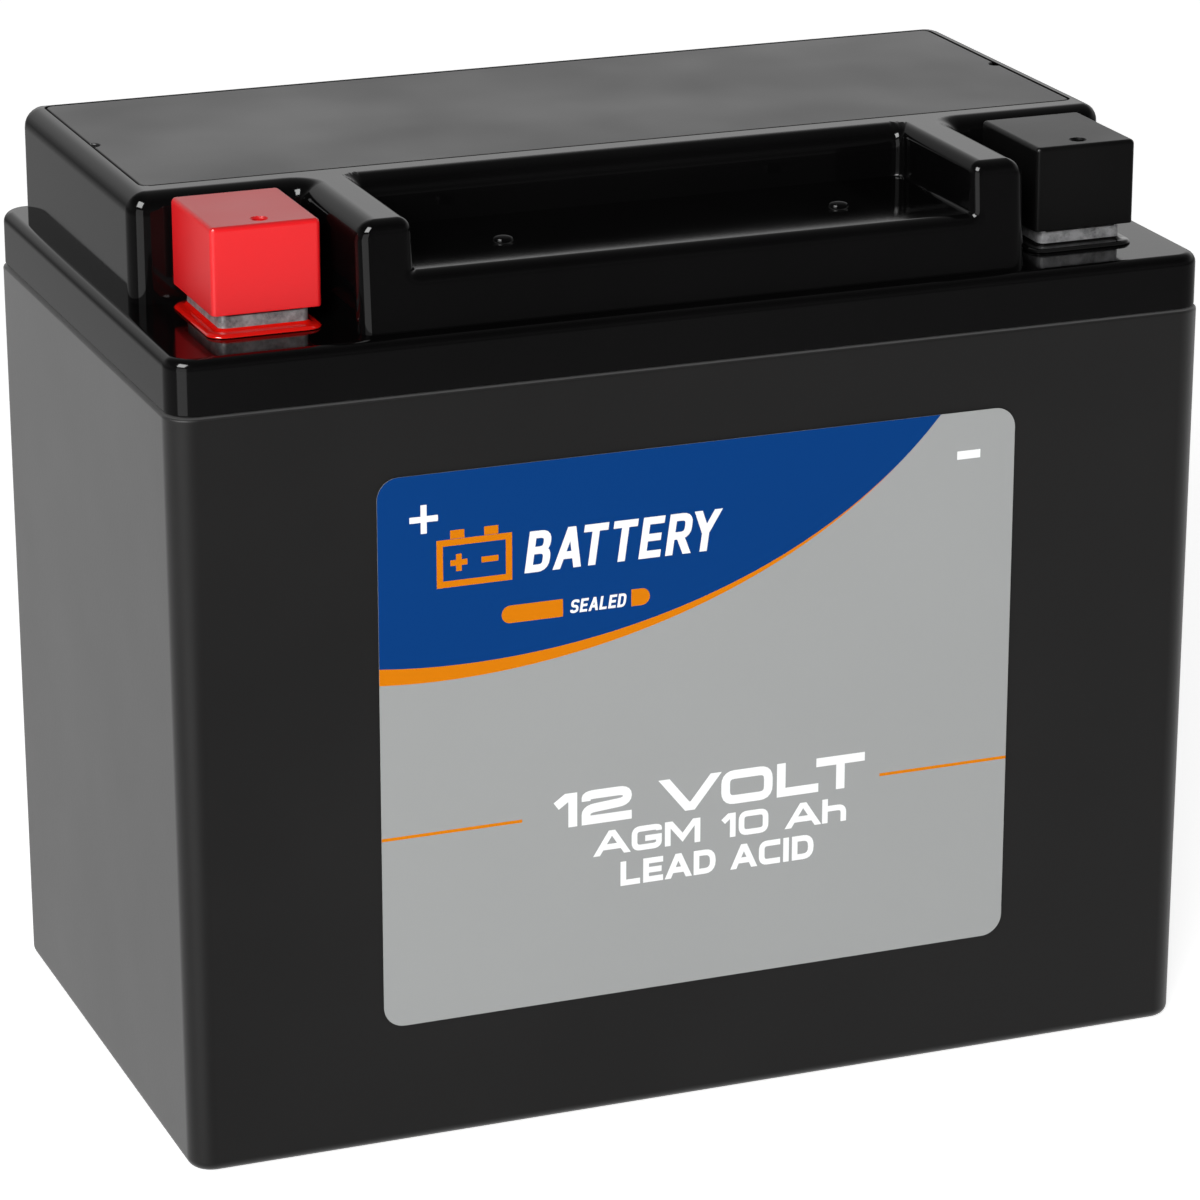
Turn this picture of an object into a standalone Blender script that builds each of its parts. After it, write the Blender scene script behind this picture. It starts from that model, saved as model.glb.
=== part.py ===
"""Motorcycle battery: a sealed lead-acid block with its cover, terminals, vents and six cells.

Metres, +Z up. The origin is the middle of the footprint, on the surface the battery stands on.
+X runs along the length, from the positive terminal to the negative one, and the labelled
front faces -Y.
"""

from math import cos, pi, sin

import bmesh
import bpy

# Overall size
LENGTH = 0.150
DEPTH = 0.087
HEIGHT = 0.130
GAP = 0.0003                     # kept between pieces that touch in the real battery

# Container: six cells in a row
WALL = 0.0025
PARTITION = 0.0016
CELLS = 6
CONTAINER_TOP = 0.10715
CONTAINER_CORNER = 0.004
CONTAINER_FOOT_ROUND = 0.0015
CONTAINER_DRAFT = 0.0003         # the moulding narrows by this much on each side at the bottom

# Cover: skirt, rear plateau, and the front block with its two arms and the step between them
SKIRT_BOTTOM = CONTAINER_TOP + GAP
SKIRT_INSET = 0.0003
LEDGE = 0.115
SKIRT_ROUND = 0.0016
PLATEAU_LEFT = -0.0713
PLATEAU_RIGHT = 0.0726
PLATEAU_FRONT = -0.015
PLATEAU_BACK = 0.0422
PLATEAU_CORNER = 0.0025
PLATEAU_ROUND = 0.0022
BLOCK_LEFT = -0.0476             # outer faces of the arms
BLOCK_RIGHT = 0.0490
BLOCK_FRONT = -0.0398
BLOCK_TOP = HEIGHT - 0.0002
BLOCK_CORNER = 0.0025
BLOCK_ROUND = 0.0018
STEP_LEFT = -0.0398              # inner faces of the arms
STEP_RIGHT = 0.0409
STEP_FLOOR = 0.1228
STEP_CORNER = 0.0015
DECK = 0.0025                    # wall thickness of the cover

# Vent chamber under the flush plate
PLATE_LEFT = -0.0681
PLATE_RIGHT = 0.0699
PLATE_FRONT = -0.0097
PLATE_BACK = 0.0396
PLATE_CORNER = 0.0012
PLATE_THICKNESS = 0.002
PLATE_CLEARANCE = 0.00025
PLATE_NOTCH = 0.0012
PAD_DEPTH = 0.0014
PAD_RADIUS = 0.0035
CHAMBER_RIM = 0.0013
CHAMBER_FLOOR = 0.1186
NECK_RADIUS = 0.0046
NECK_BORE = 0.0031
NECK_TOP = 0.1238
VALVE_PITCH = 0.0239
VALVE_RADIUS = 0.0060
VALVE_WALL = 0.0010
VALVE_TOP = 0.1254
VALVE_SKIRT = 0.1196
VALVE_EDGE = 0.0006
ARRESTOR_RADIUS = 0.003
ARRESTOR_THICKNESS = 0.0016
ARRESTOR_INSET = 0.0045
ARRESTOR_Y = 0.030

# Terminals and what belongs to them
TERMINAL_X = {"positive": -0.0587, "negative": 0.0602}
TERMINAL_Y = -0.0255
TERMINAL_WIDTH = 0.0122
TERMINAL_DEPTH = 0.0154
TERMINAL_TOP = 0.1245
TERMINAL_EDGE = 0.0005
STUB_RADIUS = 0.005
STUB_BOTTOM = 0.110
POST_RADIUS = 0.0036
SEAL_WIDTH = 0.0158
SEAL_DEPTH = 0.0186
SEAL_THICKNESS = 0.0006
SEAL_CORNER = 0.001
RING_SECTION = 0.0009
NUT_SIDE = 0.010
NUT_THICKNESS = 0.0032
NUT_WINDOW_BOTTOM = 0.1176
BOLT_RADIUS = 0.003
BOLT_CHAMFER = 0.0005
BOLT_BOTTOM = 0.1166
WASHER_RADIUS = 0.0056
WASHER_THICKNESS = 0.0008
BOLT_HEAD_RADIUS = 0.0050
BOLT_HEAD_HEIGHT = 0.0026
CAP_WIDTH = 0.0151
CAP_DEPTH = 0.0182
CAP_WALL = 0.0011
CAP_BOTTOM = 0.1181
CAP_TOP = HEIGHT
CAP_CORNER = 0.0008
PROBE_RADIUS = 0.001
PROBE_FROM_FRONT = 0.0029

# Label on the front
LABEL_LEFT = -0.0471
LABEL_RIGHT = 0.0459
LABEL_BOTTOM = 0.0176
LABEL_TOP = 0.0963
LABEL_CORNER = 0.003
LABEL_THICKNESS = 0.0002

# One cell: plates with folded glass-mat separator between them
POSITIVE_PLATES = 4
NEGATIVE_PLATES = 5
POSITIVE_THICKNESS = 0.0013
NEGATIVE_THICKNESS = 0.0011
SHEET_THICKNESS = 0.00115
SHEET_CLEARANCE = 0.00015
PLATE_HALF_WIDTH = 0.0375
SHEET_HALF_WIDTH = 0.0395
PLATES_BOTTOM = 0.0045
PLATES_TOP = 0.088
SHEET_BOTTOM = 0.0032
SHEET_TOP = 0.0895
LUG_Y = 0.025
LUG_HALF_WIDTH = 0.005
STRAP_BOTTOM = 0.0945
STRAP_TOP = 0.098
STRAP_HALF_DEPTH = 0.0065
STRAP_CLEARANCE = 0.0005         # between a strap's end and the partition
LUG_OVERLAP = 0.001              # how far the lugs run up into the strap
TOMBSTONE_THICKNESS = 0.0022
TOMBSTONE_TOP = 0.1045
WELD_Z = 0.1012
WELD_RADIUS = 0.0022
WELD_HOLE = 0.0025
WELD_PROUD = 0.0002              # how far the nugget stands out of the partition on each side

CELL_LENGTH = (LENGTH - 2 * WALL - (CELLS - 1) * PARTITION) / CELLS
CELL_PITCH = CELL_LENGTH + PARTITION
CELL_CENTRES = [(i - (CELLS - 1) / 2) * CELL_PITCH for i in range(CELLS)]
POSITIVE_CELL = 0
NEGATIVE_CELL = CELLS - 1
VALVE_Y = (PLATE_FRONT + PLATE_BACK) / 2
VALVE_CENTRES = [(i - (CELLS - 1) / 2) * VALVE_PITCH for i in range(CELLS)]


# ---------------------------------------------------------------- mesh helpers

def arc(cx, cy, radius, start, end, steps):
    """Points of a circular arc, both ends included."""
    angles = [start + (end - start) * i / steps for i in range(steps + 1)]
    return [(cx + radius * cos(a), cy + radius * sin(a)) for a in angles]


def rounded_rectangle(x0, x1, y0, y1, radius, steps=3):
    """Counter-clockwise outline of a rectangle with round corners."""
    points = arc(x1 - radius, y0 + radius, radius, -pi / 2, 0, steps)
    points += arc(x1 - radius, y1 - radius, radius, 0, pi / 2, steps)
    points += arc(x0 + radius, y1 - radius, radius, pi / 2, pi, steps)
    points += arc(x0 + radius, y0 + radius, radius, pi, 3 * pi / 2, steps)
    return points


def loft(bm, loops):
    """Close a stack of equally long loops of 3-D points into one solid."""
    rings = [[bm.verts.new(point) for point in loop] for loop in loops]
    count = len(rings[0])
    for low, high in zip(rings, rings[1:]):
        for i in range(count):
            j = (i + 1) % count
            bm.faces.new((low[i], low[j], high[j], high[i]))
    bm.faces.new(list(reversed(rings[0])))
    bm.faces.new(rings[-1])


def prism(bm, outline, z0, z1):
    """Upright prism over a counter-clockwise outline."""
    loft(bm, [[(x, y, z) for x, y in outline] for z in (z0, z1)])


def prism_along_x(bm, outline, x0, x1):
    """Prism along X over a (y, z) outline, counter-clockwise seen from +X."""
    loft(bm, [[(x, y, z) for y, z in outline] for x in (x0, x1)])


def box(bm, x0, x1, y0, y1, z0, z1):
    prism(bm, [(x0, y0), (x1, y0), (x1, y1), (x0, y1)], z0, z1)


def cylinder(bm, x, y, z0, z1, radius, steps=20):
    prism(bm, arc(x, y, radius, 0, 2 * pi, steps)[:-1], z0, z1)


def rounded_block(bm, x0, x1, y0, y1, z0, z1, corner, top=0.0, foot=0.0, draft=0.0, steps=3):
    """Block with round upright corners, a rounded top or foot edge, and a little draft."""
    turns = [pi / 2 * i / steps for i in range(steps + 1)]
    levels = [(z0 + foot * (1 - cos(a)), foot * (1 - sin(a))) for a in turns] if foot else [(z0, 0.0)]
    if top:
        levels += [(z1 - top * (1 - sin(a)), top * (1 - cos(a))) for a in turns]
    else:
        levels.append((z1, 0.0))
    loops = []
    for z, inset in levels:
        inset += draft * (z1 - z) / (z1 - z0)
        outline = rounded_rectangle(x0 + inset, x1 - inset, y0 + inset, y1 - inset,
                                    max(corner - inset, corner / 4), steps)
        loops.append([(x, y, z) for x, y in outline])
    loft(bm, loops)


def turned(bm, x, y, profile, steps=20):
    """Solid of revolution about an upright axis, from an (r, z) profile that ends on the axis.

    The profile starts on the axis at the bottom and runs up the outside.
    """
    rings = []
    for radius, z in profile:
        if radius == 0:
            rings.append([bm.verts.new((x, y, z))])
        else:
            circle = arc(x, y, radius, 0, 2 * pi, steps)[:-1]
            rings.append([bm.verts.new((px, py, z)) for px, py in circle])
    for low, high in zip(rings, rings[1:]):
        for i in range(steps):
            j = (i + 1) % steps
            corners = [low[i % len(low)], low[j % len(low)], high[j % len(high)], high[i % len(high)]]
            bm.faces.new(list(dict.fromkeys(corners)))


def torus(bm, x, y, z, major, minor, steps=20, section=8):
    rings = []
    for i in range(steps):
        a = 2 * pi * i / steps
        ring = []
        for k in range(section):
            b = 2 * pi * k / section
            r = major + minor * cos(b)
            ring.append(bm.verts.new((x + r * cos(a), y + r * sin(a), z + minor * sin(b))))
        rings.append(ring)
    for i in range(steps):
        for k in range(section):
            a, b = rings[i], rings[(i + 1) % steps]
            n = (k + 1) % section
            bm.faces.new((a[k], b[k], b[n], a[n]))


def material(name, colour, roughness, metallic=0.0):
    mat = bpy.data.materials.new(name)
    mat.use_nodes = True
    shader = mat.node_tree.nodes["Principled BSDF"]
    shader.inputs["Base Color"].default_value = (*colour, 1.0)
    shader.inputs["Roughness"].default_value = roughness
    shader.inputs["Metallic"].default_value = metallic
    mat.diffuse_color = (*colour, 1.0)
    return mat


def solid(name, build, mat=None):
    """Object made by build(bm), with its origin at the world origin."""
    bm = bmesh.new()
    build(bm)
    bmesh.ops.recalc_face_normals(bm, faces=bm.faces)
    mesh = bpy.data.meshes.new(name)
    bm.to_mesh(mesh)
    bm.free()
    obj = bpy.data.objects.new(name, mesh)
    bpy.context.collection.objects.link(obj)
    if mat:
        mesh.materials.append(mat)
        mesh.shade_smooth()
        mesh.set_sharp_from_angle(angle=pi / 5)
    return obj


def combine(obj, operation, name, build):
    """Boolean with a helper solid that the build leaves out."""
    helper = solid(name, build)
    helper.hide_render = True
    helper.display_type = "WIRE"
    modifier = obj.modifiers.new(name, "BOOLEAN")
    modifier.operation = operation
    modifier.solver = "EXACT"
    modifier.object = helper


def cut(obj, name, build):
    combine(obj, "DIFFERENCE", name, build)


def join(obj, name, build):
    combine(obj, "UNION", name, build)


# ---------------------------------------------------------------- container and cover

def make_container(mat):
    def shell(bm):
        rounded_block(bm, -LENGTH / 2, LENGTH / 2, -DEPTH / 2, DEPTH / 2, 0.0, CONTAINER_TOP,
                      CONTAINER_CORNER, foot=CONTAINER_FOOT_ROUND, draft=CONTAINER_DRAFT)

    def cells(bm):
        for x in CELL_CENTRES:
            half = CELL_LENGTH / 2
            box(bm, x - half, x + half, WALL - DEPTH / 2, DEPTH / 2 - WALL, WALL, HEIGHT)

    def weld_holes(bm):
        for x, y in weld_places():
            outline = arc(y, WELD_Z, WELD_HOLE, 0, 2 * pi, 12)[:-1]
            prism_along_x(bm, outline, x - PARTITION, x + PARTITION)

    container = solid("container", shell, mat)
    cut(container, "cells_cutter", cells)
    cut(container, "weld_holes_cutter", weld_holes)


def cover_step(bm):
    """The open step between the arms."""
    corner = STEP_CORNER
    middle = PLATEAU_FRONT - corner
    outline = [(STEP_LEFT, -DEPTH), (STEP_RIGHT, -DEPTH)]
    outline += arc(STEP_RIGHT - corner, middle, corner, 0, pi / 2, 3)
    outline += arc(STEP_LEFT + corner, middle, corner, pi / 2, pi, 3)
    prism(bm, outline, STEP_FLOOR, HEIGHT + DECK)


def cover_plate_pocket(bm):
    clear = PLATE_CLEARANCE
    outline = rounded_rectangle(PLATE_LEFT - clear, PLATE_RIGHT + clear, PLATE_FRONT - clear,
                                PLATE_BACK + clear, PLATE_CORNER + clear)
    prism(bm, outline, HEIGHT - PLATE_THICKNESS - GAP, HEIGHT + DECK)


def cover_chamber(bm):
    rim = CHAMBER_RIM
    outline = rounded_rectangle(PLATE_LEFT + rim, PLATE_RIGHT - rim, PLATE_FRONT + rim,
                                PLATE_BACK - rim, PLATE_CORNER)
    prism(bm, outline, CHAMBER_FLOOR, HEIGHT - PLATE_THICKNESS)


def cover_cavities(bm):
    """Head space of each cell, with ribs left between them over the partitions."""
    half_depth = DEPTH / 2 - WALL
    for x in CELL_CENTRES:
        half = CELL_LENGTH / 2
        box(bm, x - half, x + half, -half_depth, half_depth, SKIRT_BOTTOM - WALL, LEDGE - DECK)


def cover_upper_cavities(bm):
    """The head spaces reach up under the vent chamber, and under the step between the arms."""
    bottom = LEDGE - 2 * DECK
    for x in CELL_CENTRES:
        left = x - CELL_LENGTH / 2
        right = x + CELL_LENGTH / 2
        box(bm, max(left, PLATEAU_LEFT + DECK), min(right, PLATEAU_RIGHT - DECK),
            PLATEAU_FRONT + DECK, PLATEAU_BACK - DECK, bottom, CHAMBER_FLOOR - DECK)
        if BLOCK_LEFT < x < BLOCK_RIGHT:
            box(bm, max(left, BLOCK_LEFT + DECK), min(right, BLOCK_RIGHT - DECK),
                BLOCK_FRONT + DECK, PLATEAU_FRONT - DECK, bottom, STEP_FLOOR - DECK)


def make_cover(mat):
    half_length = LENGTH / 2 - SKIRT_INSET
    half_depth = DEPTH / 2 - SKIRT_INSET

    def skirt(bm):
        rounded_block(bm, -half_length, half_length, -half_depth, half_depth, SKIRT_BOTTOM, LEDGE,
                      CONTAINER_CORNER - SKIRT_INSET, top=SKIRT_ROUND)

    def plateau(bm):
        rounded_block(bm, PLATEAU_LEFT, PLATEAU_RIGHT, PLATEAU_FRONT, PLATEAU_BACK,
                      LEDGE - DECK, HEIGHT, PLATEAU_CORNER, top=PLATEAU_ROUND, steps=4)

    def front_block(bm):
        rounded_block(bm, BLOCK_LEFT, BLOCK_RIGHT, BLOCK_FRONT, PLATEAU_FRONT + 2 * DECK,
                      LEDGE - DECK, BLOCK_TOP, BLOCK_CORNER, top=BLOCK_ROUND)

    def necks(bm):
        for x in VALVE_CENTRES:
            cylinder(bm, x, VALVE_Y, CHAMBER_FLOOR - DECK / 2, NECK_TOP, NECK_RADIUS)

    def bores(bm):
        for x in VALVE_CENTRES:
            cylinder(bm, x, VALVE_Y, CHAMBER_FLOOR - 2 * DECK, HEIGHT, NECK_BORE, 16)
        for x in TERMINAL_X.values():
            cylinder(bm, x, TERMINAL_Y, LEDGE - 2 * DECK, LEDGE + DECK, STUB_RADIUS + GAP)
        for x in arrestor_places():
            floor = CHAMBER_FLOOR - ARRESTOR_THICKNESS / 2
            cylinder(bm, x, ARRESTOR_Y, floor, HEIGHT - 2 * DECK, ARRESTOR_RADIUS + GAP)

    cover = solid("cover", skirt, mat)
    join(cover, "plateau_form", plateau)
    join(cover, "front_block_form", front_block)
    cut(cover, "step_cutter", cover_step)
    cut(cover, "plate_pocket_cutter", cover_plate_pocket)
    cut(cover, "chamber_cutter", cover_chamber)
    join(cover, "neck_forms", necks)
    cut(cover, "cavity_cutter", cover_cavities)
    cut(cover, "upper_cavity_cutter", cover_upper_cavities)
    cut(cover, "bore_cutter", bores)


# ---------------------------------------------------------------- vents

def arrestor_places():
    inset = CHAMBER_RIM + ARRESTOR_INSET
    return (PLATE_LEFT + inset, PLATE_RIGHT - inset)


def make_vent_plate(mat):
    """Flush plate with hold-down pads over the valves and a vent notch in each end."""
    bottom = HEIGHT - PLATE_THICKNESS

    def slab(bm):
        outline = rounded_rectangle(PLATE_LEFT, PLATE_RIGHT, PLATE_FRONT, PLATE_BACK, PLATE_CORNER)
        prism(bm, outline, bottom, HEIGHT)

    def pads(bm):
        for x in VALVE_CENTRES:
            cylinder(bm, x, VALVE_Y, bottom - PAD_DEPTH, HEIGHT - PLATE_THICKNESS / 2, PAD_RADIUS, 16)

    def notches(bm):
        for x in (PLATE_LEFT, PLATE_RIGHT):
            cylinder(bm, x, VALVE_Y, bottom - GAP, HEIGHT + GAP, PLATE_NOTCH, 12)

    plate = solid("vent_cover_plate", slab, mat)
    join(plate, "pad_forms", pads)
    cut(plate, "notch_cutter", notches)


def make_valve(number, x, mat):
    """Rubber cap that fits over a neck and lifts to let gas out."""
    inner_radius = VALVE_RADIUS - VALVE_WALL
    inner_top = VALVE_TOP - VALVE_WALL

    def cup(bm):
        turned(bm, x, VALVE_Y, [
            (0, inner_top),
            (inner_radius, inner_top),
            (inner_radius, VALVE_SKIRT),
            (VALVE_RADIUS, VALVE_SKIRT),
            (VALVE_RADIUS, VALVE_TOP - VALVE_EDGE),
            (VALVE_RADIUS - VALVE_EDGE, VALVE_TOP),
            (0, VALVE_TOP),
        ])

    solid(f"vent_valve_{number}", cup, mat)


def make_arrestor(side, x, mat):
    bottom = CHAMBER_FLOOR - ARRESTOR_THICKNESS / 2 + GAP

    def disc(bm):
        cylinder(bm, x, ARRESTOR_Y, bottom, bottom + ARRESTOR_THICKNESS, ARRESTOR_RADIUS, 18)

    solid(f"flame_arrestor_{side}", disc, mat)


# ---------------------------------------------------------------- terminals

def make_terminal(pole, mat):
    """Lead block with a nut window in front, a bolt hole on top and a stub through the cover."""
    x = TERMINAL_X[pole]
    half_width = TERMINAL_WIDTH / 2
    front = TERMINAL_Y - TERMINAL_DEPTH / 2
    back = TERMINAL_Y + TERMINAL_DEPTH / 2
    window = NUT_SIDE + 2 * GAP
    window_top = NUT_WINDOW_BOTTOM + NUT_THICKNESS + 2 * GAP

    def block(bm):
        rounded_block(bm, x - half_width, x + half_width, front, back, LEDGE + GAP, TERMINAL_TOP,
                      TERMINAL_EDGE, top=TERMINAL_EDGE, steps=2)

    def stub(bm):
        cylinder(bm, x, TERMINAL_Y, STUB_BOTTOM, LEDGE + 2 * GAP, STUB_RADIUS)

    def nut_window(bm):
        box(bm, x - window / 2, x + window / 2, front - GAP, TERMINAL_Y + window / 2,
            NUT_WINDOW_BOTTOM, window_top)

    def bores(bm):
        cylinder(bm, x, TERMINAL_Y, BOLT_BOTTOM - GAP, HEIGHT, BOLT_RADIUS + GAP, 16)
        cylinder(bm, x, TERMINAL_Y, STUB_BOTTOM - GAP, LEDGE - 2 * GAP, POST_RADIUS + GAP, 16)

    terminal = solid(f"{pole}_terminal", block, mat)
    join(terminal, f"{pole}_stub_form", stub)
    cut(terminal, f"{pole}_nut_window_cutter", nut_window)
    cut(terminal, f"{pole}_bore_cutter", bores)


def make_nut(pole, mat):
    x = TERMINAL_X[pole]
    half = NUT_SIDE / 2
    bottom = NUT_WINDOW_BOTTOM + GAP

    def blank(bm):
        box(bm, x - half, x + half, TERMINAL_Y - half, TERMINAL_Y + half, bottom, bottom + NUT_THICKNESS)

    def bore(bm):
        cylinder(bm, x, TERMINAL_Y, bottom - GAP, bottom + NUT_THICKNESS + GAP, BOLT_RADIUS + GAP / 2, 16)

    nut = solid(f"{pole}_terminal_nut", blank, mat)
    cut(nut, f"{pole}_nut_bore_cutter", bore)


def make_bolt(pole, mat):
    """Hexagon bolt with a washer face."""
    x = TERMINAL_X[pole]
    seat = TERMINAL_TOP + GAP
    head_bottom = seat + WASHER_THICKNESS / 2

    def shank(bm):
        turned(bm, x, TERMINAL_Y, [
            (0, BOLT_BOTTOM),
            (BOLT_RADIUS - BOLT_CHAMFER, BOLT_BOTTOM),
            (BOLT_RADIUS, BOLT_BOTTOM + BOLT_CHAMFER),
            (BOLT_RADIUS, seat),
            (WASHER_RADIUS, seat),
            (WASHER_RADIUS, seat + WASHER_THICKNESS),
            (0, seat + WASHER_THICKNESS),
        ], 16)

    def head(bm):
        cylinder(bm, x, TERMINAL_Y, head_bottom, head_bottom + BOLT_HEAD_HEIGHT, BOLT_HEAD_RADIUS, 6)

    bolt = solid(f"{pole}_terminal_bolt", shank, mat)
    join(bolt, f"{pole}_bolt_head_form", head)


def make_seal(pole, mat):
    """Coloured resin round the foot of the terminal."""
    x = TERMINAL_X[pole]
    half_width = SEAL_WIDTH / 2
    half_depth = SEAL_DEPTH / 2
    bottom = LEDGE + GAP / 3

    def pad(bm):
        rounded_block(bm, x - half_width, x + half_width, TERMINAL_Y - half_depth,
                      TERMINAL_Y + half_depth, bottom, LEDGE + SEAL_THICKNESS, SEAL_CORNER, steps=2)

    def window(bm):
        half_x = TERMINAL_WIDTH / 2 + GAP
        half_y = TERMINAL_DEPTH / 2 + GAP
        box(bm, x - half_x, x + half_x, TERMINAL_Y - half_y, TERMINAL_Y + half_y,
            LEDGE - DECK, LEDGE + DECK)

    seal = solid(f"{pole}_terminal_seal", pad, mat)
    cut(seal, f"{pole}_seal_window_cutter", window)


def make_post_ring(pole, mat):
    x = TERMINAL_X[pole]
    z = LEDGE - DECK - GAP - RING_SECTION

    def ring(bm):
        torus(bm, x, TERMINAL_Y, z, STUB_RADIUS + GAP + RING_SECTION, RING_SECTION)

    solid(f"{pole}_post_ring", ring, mat)


def make_post(pole, mat):
    """Lead post from the end cell's strap up into the terminal's stub."""
    def post(bm):
        cylinder(bm, TERMINAL_X[pole], TERMINAL_Y, STRAP_TOP + GAP, LEDGE - 3 * GAP, POST_RADIUS, 16)

    solid(f"{pole}_post", post, mat)


def make_cap(pole, mat):
    """Push-on cap, open below, with a small probe hole near its front edge."""
    x = TERMINAL_X[pole]
    half_width = CAP_WIDTH / 2
    half_depth = CAP_DEPTH / 2

    def shell(bm):
        rounded_block(bm, x - half_width, x + half_width, TERMINAL_Y - half_depth,
                      TERMINAL_Y + half_depth, CAP_BOTTOM, CAP_TOP, CAP_CORNER, top=CAP_CORNER / 2,
                      steps=2)

    def hollow(bm):
        box(bm, x - half_width + CAP_WALL, x + half_width - CAP_WALL,
            TERMINAL_Y - half_depth + CAP_WALL, TERMINAL_Y + half_depth - CAP_WALL,
            CAP_BOTTOM - CAP_WALL, CAP_TOP - CAP_WALL)

    def probe_hole(bm):
        y = TERMINAL_Y - half_depth + PROBE_FROM_FRONT
        cylinder(bm, x, y, CAP_TOP - 2 * CAP_WALL, CAP_TOP + CAP_WALL, PROBE_RADIUS, 14)

    cap = solid(f"{pole}_cap", shell, mat)
    cut(cap, f"{pole}_cap_hollow_cutter", hollow)
    cut(cap, f"{pole}_cap_probe_cutter", probe_hole)


def make_label(mat):
    """Thin sheet on the front of the container, with round corners."""
    back = -DEPTH / 2 - LABEL_THICKNESS / 2
    front = back - LABEL_THICKNESS

    def sheet(bm):
        outline = rounded_rectangle(LABEL_LEFT, LABEL_RIGHT, LABEL_BOTTOM, LABEL_TOP, LABEL_CORNER, 5)
        loft(bm, [[(x, y, z) for x, z in outline] for y in (front, back)])

    solid("label", sheet, mat)


# ---------------------------------------------------------------- cells

def weld_places():
    """Middle of each partition, and the side in Y on which its two straps meet."""
    places = []
    for i in range(CELLS - 1):
        x = (CELL_CENTRES[i] + CELL_CENTRES[i + 1]) / 2
        side = 1 if i % 2 == 0 else -1
        places.append((x, side * LUG_Y))
    return places


def plate_positions():
    """Offsets in X from the cell's middle of the plates and of the sheets between them."""
    sheets = POSITIVE_PLATES + NEGATIVE_PLATES - 1
    total = POSITIVE_PLATES * POSITIVE_THICKNESS + NEGATIVE_PLATES * NEGATIVE_THICKNESS
    total += sheets * (SHEET_THICKNESS + 2 * SHEET_CLEARANCE)
    x = -total / 2
    positive, negative, mats = [], [], []
    for i in range(POSITIVE_PLATES + NEGATIVE_PLATES):
        thickness = POSITIVE_THICKNESS if i % 2 else NEGATIVE_THICKNESS
        (positive if i % 2 else negative).append((x, x + thickness))
        x += thickness + SHEET_CLEARANCE
        if i < sheets:
            mats.append((x, x + SHEET_THICKNESS))
            x += SHEET_THICKNESS + SHEET_CLEARANCE
    return positive, negative, mats


def make_plate_group(name, cell, plates, lug_side, tombstone_side, mat):
    """Plates of one polarity with their lugs, strap and the upright that meets the partition."""
    centre = CELL_CENTRES[cell]
    lug_y = lug_side * LUG_Y
    strap_left = centre + plates[0][0]
    strap_right = centre + plates[-1][1]

    def all_plates(bm):
        outline = [(-PLATE_HALF_WIDTH, PLATES_BOTTOM), (PLATE_HALF_WIDTH, PLATES_BOTTOM)]
        outline += [(PLATE_HALF_WIDTH, PLATES_TOP), (lug_y + LUG_HALF_WIDTH, PLATES_TOP)]
        outline += [(lug_y + LUG_HALF_WIDTH, STRAP_BOTTOM + LUG_OVERLAP)]
        outline += [(lug_y - LUG_HALF_WIDTH, STRAP_BOTTOM + LUG_OVERLAP)]
        outline += [(lug_y - LUG_HALF_WIDTH, PLATES_TOP), (-PLATE_HALF_WIDTH, PLATES_TOP)]
        for left, right in plates:
            prism_along_x(bm, outline, centre + left, centre + right)

    def strap(bm):
        left, right = strap_left, strap_right
        if tombstone_side:
            face = centre + tombstone_side * (CELL_LENGTH / 2 - STRAP_CLEARANCE)
            left, right = min(left, face), max(right, face)
        box(bm, left, right, lug_y - STRAP_HALF_DEPTH, lug_y + STRAP_HALF_DEPTH, STRAP_BOTTOM, STRAP_TOP)

    def tombstone(bm):
        face = centre + tombstone_side * (CELL_LENGTH / 2 - STRAP_CLEARANCE)
        inner = face - tombstone_side * TOMBSTONE_THICKNESS
        half = STRAP_HALF_DEPTH - LUG_OVERLAP
        middle = (STRAP_BOTTOM + STRAP_TOP) / 2
        box(bm, min(face, inner), max(face, inner), lug_y - half, lug_y + half, middle, TOMBSTONE_TOP)

    group = solid(name, all_plates, mat)
    join(group, f"{name}_strap_form", strap)
    if tombstone_side:
        join(group, f"{name}_tombstone_form", tombstone)


def make_separator(number, cell, mats, mat):
    """Glass mat folded back and forth round the upright edges of the plates."""
    centre = CELL_CENTRES[cell]
    last = len(mats) - 1

    def ribbon(bm):
        outer = SHEET_HALF_WIDTH
        inner = SHEET_HALF_WIDTH - SHEET_THICKNESS
        back_path, front_path = [], []
        for i, (left, right) in enumerate(mats):
            if i % 2 == 0:
                back_path += [(centre + left, -inner if i else -outer), (centre + left, outer)]
                front_path += [(centre + right, -outer), (centre + right, inner)]
            else:
                back_path += [(centre + right, outer), (centre + right, -inner if i < last else -outer)]
                front_path += [(centre + left, inner), (centre + left, -outer)]
        prism(bm, back_path + list(reversed(front_path)), SHEET_BOTTOM, SHEET_TOP)

    solid(f"separator_pack_{number}", ribbon, mat)


def make_weld(number, place, mat):
    """Lead nugget that joins two straps through a partition."""
    x, y = place
    half = PARTITION / 2 + WELD_PROUD

    def nugget(bm):
        outline = arc(y, WELD_Z, WELD_RADIUS, 0, 2 * pi, 12)[:-1]
        prism_along_x(bm, outline, x - half, x + half)

    solid(f"intercell_weld_{number}", nugget, mat)


def make_cells(positive_mat, negative_mat, glass_mat, lead):
    positive, negative, mats = plate_positions()
    for cell in range(CELLS):
        number = cell + 1
        front_is_positive = cell % 2 == 0
        positive_side = -1 if front_is_positive else 1
        positive_tombstone = 0 if cell == POSITIVE_CELL else -1
        negative_tombstone = 0 if cell == NEGATIVE_CELL else 1
        make_plate_group(f"positive_plate_group_{number}", cell, positive, positive_side,
                         positive_tombstone, positive_mat)
        make_plate_group(f"negative_plate_group_{number}", cell, negative, -positive_side,
                         negative_tombstone, negative_mat)
        make_separator(number, cell, mats, glass_mat)
    for number, place in enumerate(weld_places(), 1):
        make_weld(number, place, lead)


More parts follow.
